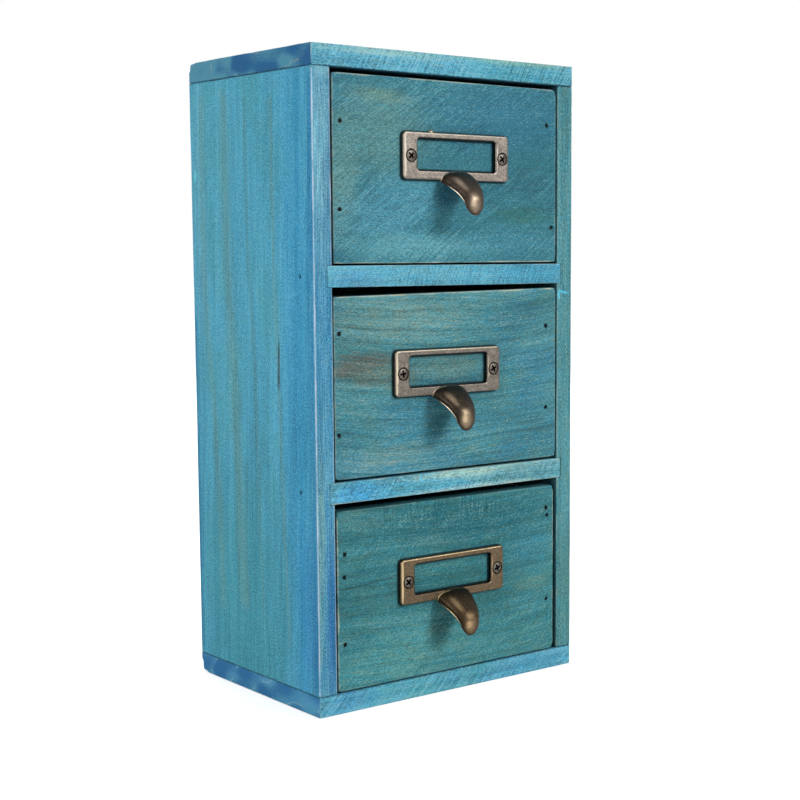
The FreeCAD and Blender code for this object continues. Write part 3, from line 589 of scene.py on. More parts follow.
def lip_path(inset=0.0):
    """The pull's lower rim, from the left of its root round the tip to the right."""
    places = np.concatenate([np.linspace(0.25, 6, 36), np.linspace(6.2, 7.9, 8)])
    sections = [pull_section(place, inset) for place in places]
    left = [section[-1] for section in sections]
    right = [section[0] for section in sections[::-1]]
    tip = pull_section(8.0)
    return np.array(left + [(tip[0] + tip[-1]) / 2] + right)


def countersink_tool(x):
    """A cone that opens the plate for a screw head, with a little room round it."""
    return ring_loft([circle((x, depth, 0), radius, RIGHT, UP, COUNTERSINK_SIDES)
                      for depth, radius in COUNTERSINK_RINGS])


def rounded_distance(points, box, corner):
    """Signed distance in the plate's plane from a rounded rectangle's outline."""
    left, right, low, high = box
    middle = np.array(((left + right) / 2, (low + high) / 2))
    half = np.array(((right - left) / 2, (high - low) / 2)) - corner
    gap = np.abs(points[:, (X, Z)] - middle) - half
    outside = np.linalg.norm(np.maximum(gap, 0), axis=1)
    return outside + np.minimum(gap.max(axis=1), 0) - corner


def side_mix(local, box, values):
    """Mix four values by how near a point is to a box's left, right, lower and upper side."""
    left, right, low, high = box
    gaps = np.abs(np.stack([local[:, X] - left, local[:, X] - right,
                            local[:, Z] - low, local[:, Z] - high]))
    nearness = 1 / (gaps + 0.5) ** 3
    return (np.array(values)[:, None] * nearness).sum(axis=0) / nearness.sum(axis=0)


def holder_polished_and_lit_edges(local, along):
    """How far each point is from the nearest bright edge: hand polish and painted highlight
    on the plate, painted highlight on the window's right edge, and both along the pull's
    rim and round the left of its root. An edge that stays dull counts as up to DULL_GAP
    further away."""
    deep = np.maximum(local[:, Y] + PLATE_THICKNESS, 0)
    inset = side_mix(local, PLATE_BOX, (0.75, 0.75, 0.3, 0.3))
    on_outer = np.hypot(rounded_distance(local, PLATE_BOX, PLATE_CORNER) + inset, deep - 0.15)
    on_outer += DULL_GAP * (1 - side_mix(local, PLATE_BOX, PLATE_POLISH_AND_HIGHLIGHT))
    on_window = np.hypot(rounded_distance(local, WINDOW_BOX, WINDOW_CORNER) - 0.6, deep)
    on_window += DULL_GAP * (1 - side_mix(local, WINDOW_BOX, WINDOW_HIGHLIGHT))
    rim_gap = np.linalg.norm(local[:, None, :] - lip_path()[None, :, :], axis=2).min(axis=1)
    rim_gap += DULL_GAP * (0.55 - 0.5 * np.exp(-((along - 0.36) / 0.16) ** 2))
    root = pull_section(0.3)[18:33]
    root_gap = np.linalg.norm(local[:, None, :] - root[None, :, :], axis=2).min(axis=1) + 0.15
    past_plate = local[:, Y] < -PLATE_THICKNESS - 0.3
    plate = np.where(past_plate, 9.0, np.minimum(on_outer, on_window))
    return np.minimum(np.minimum(plate, rim_gap), root_gap)


def pull_places(local):
    """Where points lie on the pull: root to tip from 0 to 1, and right lip over the crown
    to left lip from 0 to 1. Points of the plate get -1 for both."""
    places = np.linspace(0, 8, 41)
    grid = np.array([pull_section(place) for place in places])
    count = grid.shape[1]
    flat = grid.reshape(-1, 3)
    nearest = np.array([((flat - point) ** 2).sum(axis=1).argmin() for point in local])
    along = places[nearest // count] / 8
    round_it = (nearest % count) / (count - 1)
    on_plate = local[:, Y] > -PLATE_THICKNESS - 0.05
    return np.where(on_plate, -1, along), np.where(on_plate, -1, round_it)


def label_holder(name, material, burr):
    """One casting: plate, window, countersinks, card slot, finger pull and its rim."""
    node = f"{name}_label_holder"
    low, high = cad_box(node)
    centre = np.array(((low[X] + high[X]) / 2, high[Y], high[Z] - PLATE_HEIGHT / 2))
    item = make_object(f"cast_{node}", *plate_skin())
    slot_half = PLATE_WIDTH / 2 - SIDE_RAIL + CARD_SLOT_LIP
    slot_low = BOTTOM_RAIL - PLATE_HEIGHT / 2 - CARD_SLOT_LIP
    boolean(item, [box_tool((-slot_half, -CARD_SLOT_DEPTH, slot_low),
                            (slot_half, 1.0, PLATE_HEIGHT / 2 + 1.0))])
    boolean(item, [countersink_tool(-SCREW_REACH), countersink_tool(SCREW_REACH)])
    stations = np.concatenate([np.linspace(0, 6, 37), np.linspace(6.15, 8, 10)])
    solid = ring_loft([pull_section(place) for place in stations])
    hollow = ring_loft([pull_section(place, PULL_WALL, HOLLOW_SKIRT, 24)
                        for place in np.linspace(0.75, 4.3, 16)])
    pull = make_object("pull", *solid)
    boolean(pull, [hollow])
    boolean(pull, [tube(lip_path(RIM_INSET), RIM_RADIUS, RIM_SIDES)], "UNION")
    boolean(item, [taken_out(pull)], "UNION")
    if burr is not None:
        boolean(item, [chip_tool(np.array(burr), np.array(BURR_SIZE), 7)], "UNION")
    local = corners_of(item)
    along, round_it = pull_places(local)
    write_attribute(item, "edge", holder_polished_and_lit_edges(local, along))
    # Painted shade in the countersinks, fuller on their left, and on the window's walls and
    # bevels, all but the right bevel.
    off_screw = np.sign(local[:, X]) * (np.abs(local[:, X]) - SCREW_REACH)
    in_countersink = np.hypot(off_screw, local[:, Z]) < COUNTERSINK_MOUTH + 0.05
    past_mouth = side_mix(local, WINDOW_BOX, (0.45, 0.02, 0.45, 0.45))
    in_window = rounded_distance(local, WINDOW_BOX, WINDOW_CORNER) < past_mouth
    below_face = local[:, Y] > 0.1 - PLATE_THICKNESS
    in_bore = np.where(off_screw < 0, 1.0, 0.5)
    sunk = np.where(in_countersink, in_bore, np.where(in_window, 1.0, 0.0))
    write_attribute(item, "sunk", sunk * below_face)
    write_attribute(item, "along", along)
    write_attribute(item, "round", round_it)
    item.data.transform(Matrix.Translation(centre.tolist()))
    return finish_piece(item, [node], material, sharp=40)


def screw_skin(turn):
    """A countersunk screw with a low dome, a thread and a tapered cross recess."""
    rings = []
    for height in np.linspace(-SCREW_LENGTH, THREAD_TOP, THREAD_RINGS):
        share = min(1.0, (height + SCREW_LENGTH) / SCREW_POINT)
        phase = (height / THREAD_PITCH - np.arange(SCREW_SIDES) / SCREW_SIDES) % 1.0
        thread = np.maximum(0.0, 1 - np.abs(phase - 0.5) * 4)
        radius = share * (SCREW_CORE + THREAD_DEPTH * thread) + 0.03
        rings.append(circle(UP * height, radius, RIGHT, BACK, SCREW_SIDES))
    profile = [*HEAD_RINGS]
    profile += [(radius, math.sqrt(DOME_BALL ** 2 - radius ** 2) - DOME_BALL + SCREW_DOME)
                for radius in DOME_RINGS]
    rings += [circle(UP * height, radius, RIGHT, BACK, SCREW_SIDES)
              for radius, height in profile]
    bars = []
    for quarter in (0, 90):
        angle = math.radians(turn + quarter)
        along = np.array((math.cos(angle), math.sin(angle), 0))
        across = np.array((-math.sin(angle), math.cos(angle), 0))
        rings_of_bar = []
        for height, half, wide in CROSS_BARS:
            rings_of_bar.append([along * half * a + across * wide * b + np.array((0, 0, height))
                                 for a, b in ((1, 1), (-1, 1), (-1, -1), (1, -1))])
        bars.append(ring_loft(rings_of_bar))
    return ring_loft(rings), bars


def holder_screws(name, material):
    """Both screws of a label holder."""
    parts, deep, rim, pale = [], [], [], []
    for centre, turn in zip(screw_places(name), SCREW_TURNS[name]):
        skin, bars = screw_skin(turn)
        item = make_object("screw", *skin)
        for bar in bars:
            boolean(item, [bar])
        points, faces = taken_out(item)
        # Painted shade in the cross recess and on the left of the head's rim, and a painted
        # highlight just inside that rim.
        reach = np.hypot(points[:, 0], points[:, 1])
        dome = np.sqrt(DOME_BALL ** 2 - np.minimum(reach, SCREW_HEAD / 2) ** 2)
        under = (dome - DOME_BALL + SCREW_DOME - points[:, 2]) / 0.3
        deep.append(np.where((reach < 1.9) & (points[:, 2] > -0.7), np.clip(under, 0, 1), 0))
        left = (0.3 * points[:, 1] - points[:, 0]) / np.maximum(reach, 0.1)
        on_left = np.clip((left + 0.25) / 0.5, 0, 1)
        rim.append(on_left * np.clip((reach - 1.95) / 0.25, 0, 1))
        pale.append(on_left * np.exp(-((reach - 1.65) / 0.25) ** 2))
        placed = np.stack([points[:, 0], -points[:, 2], points[:, 1]], 1) + centre
        parts.append((placed, faces))
    node = f"{name}_holder_screws"
    item = make_object(f"turned_{node}", *joined(parts))
    for attribute, values in (("deep", deep), ("rim", rim), ("pale", pale)):
        write_attribute(item, attribute, np.concatenate(values))
    return finish_piece(item, [node], material, sharp=30)


# Materials

AXES_BY_GRAIN = {"x": (0, 2, 1), "y": (1, 2, 0), "z": (2, 1, 0)}
WOOD_ROUGHNESS = 0.68
# Display colours from 0 to 255: stains, wear, dark dashes, seam darkening and nail rims,
# and the painted shade round the holders, on the faces that turn one way and in the screws'
# recesses.
CREAM, PALE_STAIN = (190, 200, 180), (186, 208, 202)
DARK_DASH, HOLDER_SHADE, SEAM_DARK_TINT = (28, 52, 62), (14, 34, 40), (22, 52, 72)
SHADOW, NAIL_RIM, PAINTED_RECESS_SHADE = (12, 26, 32), (22, 34, 42), (7, 6, 5)
WHITE = (1, 1, 1, 1)


def linear(colour):
    """A colour as 0-255 display values, as the shader's own numbers."""
    values = [c / 255 for c in colour]
    return tuple(v / 12.92 if v <= 0.04045 else ((v + 0.055) / 1.055) ** 2.4
                 for v in values) + (1,)


class Value:
    """An output of a node, so that sums and products of outputs are written as such."""

    def __init__(self, graph, socket):
        self.graph, self.socket = graph, socket

    def __add__(self, other):
        return self.graph.math("ADD", self, other)

    def __radd__(self, other):
        return self.graph.math("ADD", other, self)

    def __sub__(self, other):
        return self.graph.math("SUBTRACT", self, other)

    def __rsub__(self, other):
        return self.graph.math("SUBTRACT", other, self)

    def __mul__(self, other):
        return self.graph.math("MULTIPLY", self, other)

    def __truediv__(self, other):
        return self.graph.math("DIVIDE", self, other)

    def __abs__(self):
        return self.graph.math("ABSOLUTE", self)


class Graph:
    """The nodes of a material or the world, built by calls that give back values."""

    def __init__(self, owner):
        self.owner = owner
        owner.use_nodes = True
        self.tree = owner.node_tree
        self.tree.nodes.clear()

    def node(self, kind, inputs=(), **settings):
        """A node with its settings, and its inputs by name or in order."""
        node = self.tree.nodes.new(kind)
        for key, value in settings.items():
            setattr(node, key, value)
        named = inputs if isinstance(inputs, dict) else dict(enumerate(inputs))
        for key, value in named.items():
            if isinstance(value, Value):
                self.tree.links.new(value.socket, node.inputs[key])
            else:
                node.inputs[key].default_value = value
        return node

    def out(self, kind, inputs=(), output=0, **settings):
        """One output of a new node."""
        return Value(self, self.node(kind, inputs, **settings).outputs[output])

    def math(self, operation, *values, clamp=False):
        return self.out("ShaderNodeMath", values, operation=operation, use_clamp=clamp)

    def vector(self, operation, *values):
        output = 1 if operation in ("LENGTH", "DOT_PRODUCT") else 0
        return self.out("ShaderNodeVectorMath", values, output, operation=operation)

    def combine(self, *parts):
        return self.out("ShaderNodeCombineXYZ", parts)

    def split(self, vector):
        outputs = self.node("ShaderNodeSeparateXYZ", (vector,)).outputs
        return [Value(self, output) for output in outputs]

    def place(self):
        """Where a point lies on its object, in millimetres."""
        at = self.out("ShaderNodeTexCoord", output="Object")
        return self.out("ShaderNodeVectorMath", {0: at, "Scale": 1 / MM}, operation="SCALE")

    def normal(self):
        return self.out("ShaderNodeTexCoord", output="Normal")

    def attribute(self, name):
        return self.out("ShaderNodeAttribute", output="Fac", attribute_name=name)

    def noise(self, vector, detail=2.0, roughness=0.5, distortion=0.0):
        return self.out("ShaderNodeTexNoise", {
            "Vector": vector, "Scale": 1.0, "Detail": detail, "Roughness": roughness,
            "Distortion": distortion,
        })

    def centred(self, value, amount):
        """A noise value as a change of up to half the amount either way."""
        return (value - 0.5) * amount

    def oval(self, place, centre, radii, tilt=0):
        """How far a place is from an oval's centre, as a share of its tilted radii."""
        away = self.vector("SUBTRACT", place, (*centre, 0.0))
        if tilt:
            away = self.out("ShaderNodeVectorRotate", {
                "Vector": away, "Angle": -math.radians(tilt),
            }, rotation_type="Z_AXIS")
        shares = self.vector("MULTIPLY", away, (1 / radii[0], 1 / radii[1], 0.0))
        return self.vector("LENGTH", shares)

    def smooth(self, value, low, high, to_low=0.0, to_high=1.0):
        return self.out("ShaderNodeMapRange", {
            "Value": value, "From Min": low, "From Max": high, "To Min": to_low,
            "To Max": to_high,
        }, interpolation_type="SMOOTHSTEP")

    def mix(self, factor, first, second):
        """Two colours mixed. A plain one is given as display values."""
        second = linear(second) if isinstance(second, tuple) else second
        inputs = {0: factor, 6: first, 7: second}
        return self.out("ShaderNodeMix", inputs, 2, data_type="RGBA", clamp_factor=True)

    def ramp(self, value, stops):
        """Colours along a value, as (place, display colour) pairs."""
        node = self.node("ShaderNodeValToRGB", (value,))
        elements = node.color_ramp.elements
        while len(elements) > 1:
            elements.remove(elements[-1])
        for number, (place, colour) in enumerate(stops):
            element = elements[0] if number == 0 else elements.new(place)
            element.position = place
            element.color = linear(colour)
        return Value(self, node.outputs[0])

    def seen(self):
        """1 for the rays that meet plain white: camera, glossy and transmitted ones."""
        rays = self.node("ShaderNodeLightPath").outputs
        camera_ray, glossy_ray, through_ray = (
            Value(self, rays[f"Is {kind} Ray"]) for kind in ("Camera", "Glossy", "Transmission"))
        return self.math("MAXIMUM", camera_ray, self.math("MAXIMUM", glossy_ray, through_ray))

    def finish(self, colour, roughness, height, strength, distance, **shader):
        """The surface itself, its relief in millimetres and the output."""
        bump = self.out("ShaderNodeBump", {
            "Strength": strength, "Distance": distance * MM, "Height": height,
        })
        surface = self.out("ShaderNodeBsdfPrincipled", {
            "Base Color": colour, "Roughness": roughness, "Normal": bump, **shader,
        })
        self.node("ShaderNodeOutputMaterial", (surface,))
        return self.owner


def tones(mid):
    """Colours from dark to light round a middle display colour."""
    def times(share):
        return tuple(channel * share for channel in mid)
    pale = tuple(0.5 * m + 0.5 * l for m, l in zip(mid, PALE_STAIN))
    return ((0.02, times(0.6)), (0.34, times(0.86)), (0.62, times(1.1)), (0.98, pale))


def holder_loops(name):
    """A label holder's two outlines on the drawer front, each as (box, corner)."""
    low, high = cad_box(f"{name}_label_holder")
    x, z = (low[X] + high[X]) / 2, high[Z] - PLATE_HEIGHT / 2
    return [([at + side for at, side in zip((x, x, z, z), box)], corner)
            for box, corner in ((PLATE_BOX, PLATE_CORNER), (WINDOW_BOX, WINDOW_CORNER))]


def signed_gap(g, x, z, box, corner):
    """The signed distance from a rounded rectangle's outline, in a material."""
    left, right, low, high = (float(v) for v in box)
    past = [abs(value - (start + end) / 2) - ((end - start) / 2 - corner)
            for value, start, end in ((x, left, right), (z, low, high))]
    outside = g.combine(*(g.math("MAXIMUM", value, 0.0) for value in past), 0.0)
    inside = g.math("MINIMUM", g.math("MAXIMUM", *past), 0.0)
    return g.vector("LENGTH", outside) + inside - corner


def stained_wood(name, grain, mid, other, seed, *, patch=(0.45, 0.6), ring=0.3, ring_width=4.5,
                 fibre=0.3, speck=0.42, grit=(1.1, 0.36), hue=1.1, broad=0.3, slant=0.0,
                 bend=0.0, wobble=3.0, scratch_angle=38, scratch=0.35, spots=(), edge_spots=(),
                 streaks=(), wear=(CREAM, 0.5, 0.6), ragged_wear=3.0, dashes=0.5,
                 end_grain=None, chatter=None, relief=0.3, nail_marks=(), front_tint=None,
                 holder=None, seam_dark=0.9, shaded=None, level=(1, 1, 1)):
    """Stained softwood: noise that follows the grain, and stains placed one by one. A spot is
    (centre, radii, tilt, tint, amount, raggedness) in millimetres along the grain and
    across it, an edge spot the same along it and through the board, and a streak (path,
    half width, tint, amount). Wear is (tint, width, amount) along the edges, end grain
    (deep, pale, line, pith, ring spacing, deepening), chatter (centre, half length, low,
    high) and shaded (direction, amount). The level scales the channels of every stain."""
    g = Graph(bpy.data.materials.new(name))
    place, normal = g.place(), g.normal()
    parts, sides = g.split(place), g.split(normal)
    u, v, w = (parts[axis] for axis in AXES_BY_GRAIN[grain])
    shift = 37.0 * seed

    def stretched(along, across, x=u, y=v, z=w, offset=0.0):
        """Coordinates with one noise cell per so many millimetres."""
        cells = g.vector("MULTIPLY", g.combine(x, y, z), (1 / along, 1 / across, 1 / across))
        return g.vector("ADD", cells, (shift + offset, shift * 0.7 - offset, shift * 0.3))

    sway = g.noise(stretched(75, 26), 2.0)
    bent = v + g.centred(sway, 2 * wobble) + u * slant
    if bend:
        bent = bent + u * u * bend
    rings = g.noise(stretched(170, ring_width, y=bent, offset=5.0), 3.0, 0.6, 0.15)
    fibres = g.noise(stretched(18, 0.5, y=bent, offset=9.0), 3.0, 0.65)
    specks = g.noise(stretched(*grit, offset=2.0), 0.0)
    broads = g.noise(stretched(60, 24, offset=13.0), 2.0, 0.5)
    cosine, sine = math.cos(math.radians(scratch_angle)), math.sin(math.radians(scratch_angle))
    curve = g.centred(g.noise(stretched(40, 30, offset=21.0), 1.0), 6.0)
    lines = g.noise(stretched(11, 0.42, x=u * cosine + v * sine, y=v * cosine - u * sine + curve,
                              offset=3.0), 1.0, 0.5)
    where = g.smooth(g.noise(stretched(26, 17, offset=17.0), 2.0), 0.38, 0.62, 0.3, 1.0)
    tone = (0.5 + g.centred(rings, 2 * ring) + g.centred(fibres, 2 * fibre)
            + g.centred(specks, 2 * speck) + g.centred(broads, 2 * broad)
            + g.centred(lines, 2 * scratch) * where)
    if chatter:
        centre, span, low, high = chatter
        marks = g.noise(g.vector("MULTIPLY", g.combine(u, v, w), (1 / 0.9, 1 / 9, 0.1)), 1.0, 0.6)
        band = g.smooth(v, low, high) * g.smooth(abs(u - centre), span, span * 0.6)
        tone = tone + (g.centred(marks, 0.65) - 0.04) * band
    tone = g.math("ADD", tone, 0.0, clamp=True)

    def stained(tint):
        return g.ramp(tone, tones(tuple(channel * share for channel, share in zip(tint, level))))

    patches = g.noise(stretched(45, 22, y=bent, offset=31.0), 3.0, 0.6)
    colour = g.mix(g.smooth(patches, *patch), stained(mid), stained(other))
    soft = g.noise(stretched(14, 6, y=bent, offset=41.0), 4.0, 0.65)
    facing = g.smooth(abs(sides[Y]), 0.6, 0.8)
    if front_tint:
        colour = g.mix(facing, colour, stained(front_tint))
    flat_face, flat_edge = g.combine(u, v, 0.0), g.combine(u, w, 0.0)
    for number, (centre, radii, tilt, tint, amount, ragged) in enumerate(spots + edge_spots):
        on_edge = number >= len(spots)
        reach = g.oval(flat_edge if on_edge else flat_face, centre, radii, tilt)
        reach = reach + g.centred(soft, ragged) + g.centred(fibres, 0.35)
        mask = g.smooth(reach, 1.15, 0.25, 0.0, amount)
        colour = g.mix(mask * facing if on_edge else mask, colour, stained(tint))
    for path, width, tint, amount in streaks:
        low, high = path[0][0], path[-1][0]
        span = g.node("ShaderNodeFloatCurve", {"Value": (u - low) / (high - low)})
        points = span.mapping.curves[0].points
        for number, (along, across) in enumerate(path):
            spot = ((along - low) / (high - low), 0.5 + across / 200)
            if number in (0, len(path) - 1):
                points[0 if number == 0 else -1].location = spot
            else:
                points.new(*spot)
        span.mapping.update()
        middle = (Value(g, span.outputs[0]) - 0.5) * 200
        drift = g.centred(g.noise(stretched(22, 60, offset=51.0), 2.0), 1.4)
        gap = abs(v + drift - middle)
        gap = gap + g.centred(fibres, width * 1.3) + g.centred(rings, width * 0.8)
        ends = g.smooth(u, low - 2, low + 6) * g.smooth(u, high + 2, high - 6)
        mask = g.smooth(gap, width, 0.0, 0.0, amount)
        colour = g.mix(mask * ends, colour, stained(tint))
    dark = g.noise(stretched(4.5, 0.4, y=bent, offset=61.0), 1.0, 0.4)
    dark = g.smooth(dark, 0.69, 0.76) * g.smooth(soft, 0.45, 0.6)
    colour = g.mix(dark * dashes, colour, DARK_DASH)

    # Painted contact shadow on the front, round the holder's plate and inside its window.
    if holder:
        outer, window = (signed_gap(g, u, v, *loop) for loop in holder_loops(holder))
        holder_contact_shadow = g.smooth(g.math("MAXIMUM", outer, window * -1.0), 0.75, 0.2, 0.0, 0.85)
        colour = g.mix(holder_contact_shadow * facing, colour, HOLDER_SHADE)

    if end_grain:
        deep, pale, line, pith, spacing, deepening = end_grain
        drifted = g.noise(g.vector("MULTIPLY", g.combine(u, v, w), (0.05, 0.09, 0.05)), 1.0, 0.5)
        off_pith = g.vector("LENGTH", g.combine(0.0, v - pith[0], w - pith[1]))
        arcs = g.math("SINE", (off_pith + g.centred(drifted, 16.0)) * (2 * math.pi / spacing))
        cloudy = (0.5 + g.centred(specks, 0.7) + g.centred(drifted, 2.4) + arcs * 0.16
                  + w * deepening)
        veins = g.smooth(arcs, 0.93, 1.0) * g.smooth(soft, 0.42, 0.6)
        ends_colour = g.mix(veins * 0.5, g.ramp(cloudy, ((0.25, deep), (0.75, pale))), line)
        on_end = g.smooth(abs(sides[AXES_BY_GRAIN[grain][0]]), 0.6, 0.8)
        colour = g.mix(on_end, colour, ends_colour)

    edge, seam, worn = (g.attribute(of) for of in ("edge", "seam", "worn"))
    tint, width, amount = wear
    rubbed = edge + g.centred(soft, width * ragged_wear) + g.centred(fibres, width)
    rubbed = g.smooth(rubbed, width, 0.0, 0.0, amount) * worn * g.smooth(seam, 0.5, 1.2)
    colour = g.mix(rubbed, colour, tint)
    # Darker along the seams, where the board meets another.
    seam_darkening = seam + g.centred(specks, 0.9) + g.centred(soft, 0.7)
    colour = g.mix(g.smooth(seam_darkening, 0.62, 0.12, 0.0, seam_dark), colour, SEAM_DARK_TINT)
    # Painted shade on the faces that turn the given way.
    if shaded:
        toward, amount = shaded
        hidden = g.smooth(g.vector("DOT_PRODUCT", normal, toward), 0.6, 0.9)
        colour = g.mix(hidden * amount, colour, SHADOW)
    tilt_hue = g.centred(g.noise(stretched(7, 1.1, y=bent, offset=71.0), 3.0, 0.6), hue)
    colour = g.vector("MULTIPLY", colour, g.combine(tilt_hue + 1.0, 1.0, 1.0 - tilt_hue * 0.4))
    for scale, middle in nail_marks:
        away = g.vector("LENGTH", g.vector("SUBTRACT", g.vector("MULTIPLY", place, scale), middle))
        away = away + g.centred(specks, 1.2)
        colour = g.mix(g.smooth(away, 1.25, 0.7, 0.0, 0.9), colour, NAIL_RIM)
    height = fibres * 0.6 + rings * 0.2 + specks * 0.3 + lines * 0.6 + dark * -0.7
    rough = WOOD_ROUGHNESS + g.centred(fibres, 0.3) + rubbed * 0.12
    return g.finish(colour, rough, height, relief, 0.2,
                    **{"IOR": 1.45, "Specular IOR Level": 0.12})


def marks_on(node, axis):
    """Dark rims for the nail heads that show on a board's face across an axis."""
    low, high = cad_box(node)
    scale = tuple(0.0 if other == axis else 1.0 for other in range(3))
    return [(scale, tuple(float(h) * k for h, k in zip(head, scale))) for head, _ in NAILS
            if (head > low - 0.8).all() and (head < high + 0.8).all()]


def cast_bronze(name, face, bright, dark, body, glow, seed):
    """Antiqued casting, darker in its pits and at the pull's root. Painted shade lies in the
    window, in the countersinks, on the walls and on the pull's flanks. The edges that face up
    and left are bright from polish and painted highlight, and painted highlights that also
    stand for polish lie along the pull's crown and above its tip."""
    g = Graph(bpy.data.materials.new(name))
    place = g.vector("ADD", g.place(), (seed * 11.0, seed * 5.0, seed * 3.0))
    depth_wise = abs(g.split(g.normal())[Y])

    def at(size, detail=2.0, roughness=0.5):
        return g.noise(g.vector("MULTIPLY", place, (1 / size,) * 3), detail, roughness)

    def shades(mid, spread):
        return [(0.5 + side * 0.38, tuple(min(255, c * (1 + side * spread)) for c in mid))
                for side in (-1, 0, 1)]

    def near(centre, reach, ragged):
        """How near a place on the pull is, from 1 to 0, to a centre along and round it."""
        away = g.oval(g.combine(along, round_it, 0.0), centre, reach)
        return g.smooth(away + g.centred(cloud, ragged) + g.centred(grain, 0.5), 1.0, 0.1)

    grain, cloud, pits = at(0.5, 2.0, 0.7), at(3.2, 3.0, 0.6), at(1.0, 2.0)
    edge, along, round_it, sunk = (g.attribute(of) for of in ("edge", "along", "round", "sunk"))
    tone = 0.5 + g.centred(grain, 1.5) + g.centred(cloud, 0.45)
    plate_colour, pull_colour, painted_highlight_colour = (
        g.ramp(tone, shades(mid, spread))
        for mid, spread in ((face, 0.32), (body, 0.55), (glow, 0.26)))
    painted_hot_spot = tuple(min(255, channel * 1.28) for channel in glow)
    # Painted highlights near the root and above the tip, also standing for polish, painted shade
    # on the left flank and a painted hot spot: centre, reach, raggedness, amount and shade.
    for centre, reach, ragged, amount, shade in (
            ((0.25, 0.68), (0.17, 0.12), 0.6, 0.45, painted_highlight_colour),
            ((0.61, 0.58), (0.23, 0.33), 0.6, 0.55, painted_highlight_colour),
            ((0.42, 0.93), (0.3, 0.22), 0.4, 0.75, dark),
            ((0.56, 0.62), (0.08, 0.15), 0.45, 0.65, painted_hot_spot)):
        pull_colour = g.mix(near(centre, reach, ragged) * amount, pull_colour, shade)
    # Darker towards the pull's root, and painted shade on its right flank.
    root = g.smooth(along + g.centred(cloud, 0.06), 0.2, 0.03, 0.0, 0.7)
    flank = g.smooth(round_it, 0.22, 0.06, 0.0, 0.5)
    pull_colour = g.mix(g.math("MAXIMUM", root, flank), pull_colour, dark)
    # Painted shade on the plate's walls, in the window and in the countersinks.
    wall = g.math("MAXIMUM", g.smooth(depth_wise, 0.4, 0.12, 0.0, 0.5), sunk * 0.97)
    plate_colour = g.mix(wall, plate_colour, dark)
    colour = g.mix(g.smooth(along, -0.35, -0.05), plate_colour, pull_colour)
    # Edges bright from polish and painted highlight.
    rubbed = edge + g.centred(cloud, 0.3) + g.centred(grain, 0.35)
    colour = g.mix(g.smooth(rubbed, 0.62, 0.18, 0.0, 0.92), colour, bright)
    colour = g.mix(g.smooth(pits, 0.62, 0.74) * 0.45, colour, dark)
    rough = 0.4 + g.centred(grain, 0.2) + g.centred(cloud, 0.12)
    return g.finish(colour, rough, grain * 0.5 + pits * 0.5, 0.5, 0.08, Metallic=1.0)


def dark_steel(name, base, light, rust, roughness=0.45):
    """Blackened or rusty steel of screws and nails, with painted shade in the screws' cross
    recesses and on the left of their rims, and a painted highlight just inside those rims.
    """
    g = Graph(bpy.data.materials.new(name))
    place = g.place()
    fine = g.noise(g.vector("MULTIPLY", place, (2.8, 2.8, 2.8)), 3.0, 0.6)
    cloud = g.noise(g.vector("MULTIPLY", place, (0.9, 0.9, 0.9)), 2.0, 0.6)
    colour = g.ramp(0.5 + g.centred(fine, 1.2), ((0.2, base), (0.85, light)))
    colour = g.mix(g.smooth(cloud, 0.5, 0.66, 0.0, 0.7), colour, rust)
    # Painted highlight inside the rim, then painted shade in the recess and on the rim.
    deep, rim, pale = (g.attribute(of) for of in ("deep", "rim", "pale"))
    colour = g.mix(pale * 0.7, colour, light)
    sunk = g.smooth(g.math("MAXIMUM", deep, rim), 0.1, 0.45)
    colour = g.mix(sunk, colour, PAINTED_RECESS_SHADE)
    return g.finish(colour, roughness + g.centred(fine, 0.3), fine, 0.3, 0.06, Metallic=0.85)


OLIVE = (100, 142, 142)
LEFT_STREAKS = (
    (((30, 27.2), (91, 29.5), (125, 32.7), (159, 36.8), (252, 37.2)), 4.2, OLIVE, 0.5),
    (((33, 9.0), (93, 12.2), (135, 15.1), (177, 17.9), (251, 19.6)), 6.5, OLIVE, 0.62),
    (((32, -5.8), (94, -3.6), (152, -1.2), (177, 0.8), (249, 1.9)), 2.6, (84, 134, 142), 0.6),
    (((23, -25.7), (93, -22.4), (145, -19.9), (177, -18.4), (248, -18.0)), 2.2, OLIVE, 0.55),
    (((9, 46.6), (90, 46.4), (158, 46.4)), 3.4, (48, 116, 150), 0.8),
    (((8, -36.5), (126, -37), (254, -38)), 5.0, (56, 140, 180), 0.5),
    (((8, -45.5), (120, -45.6), (254, -45.8)), 4.0, (42, 114, 160), 0.75),
    (((128, -20.7), (140, -21.1), (150, -21.4)), 1.15, (26, 26, 22), 1.0),
)

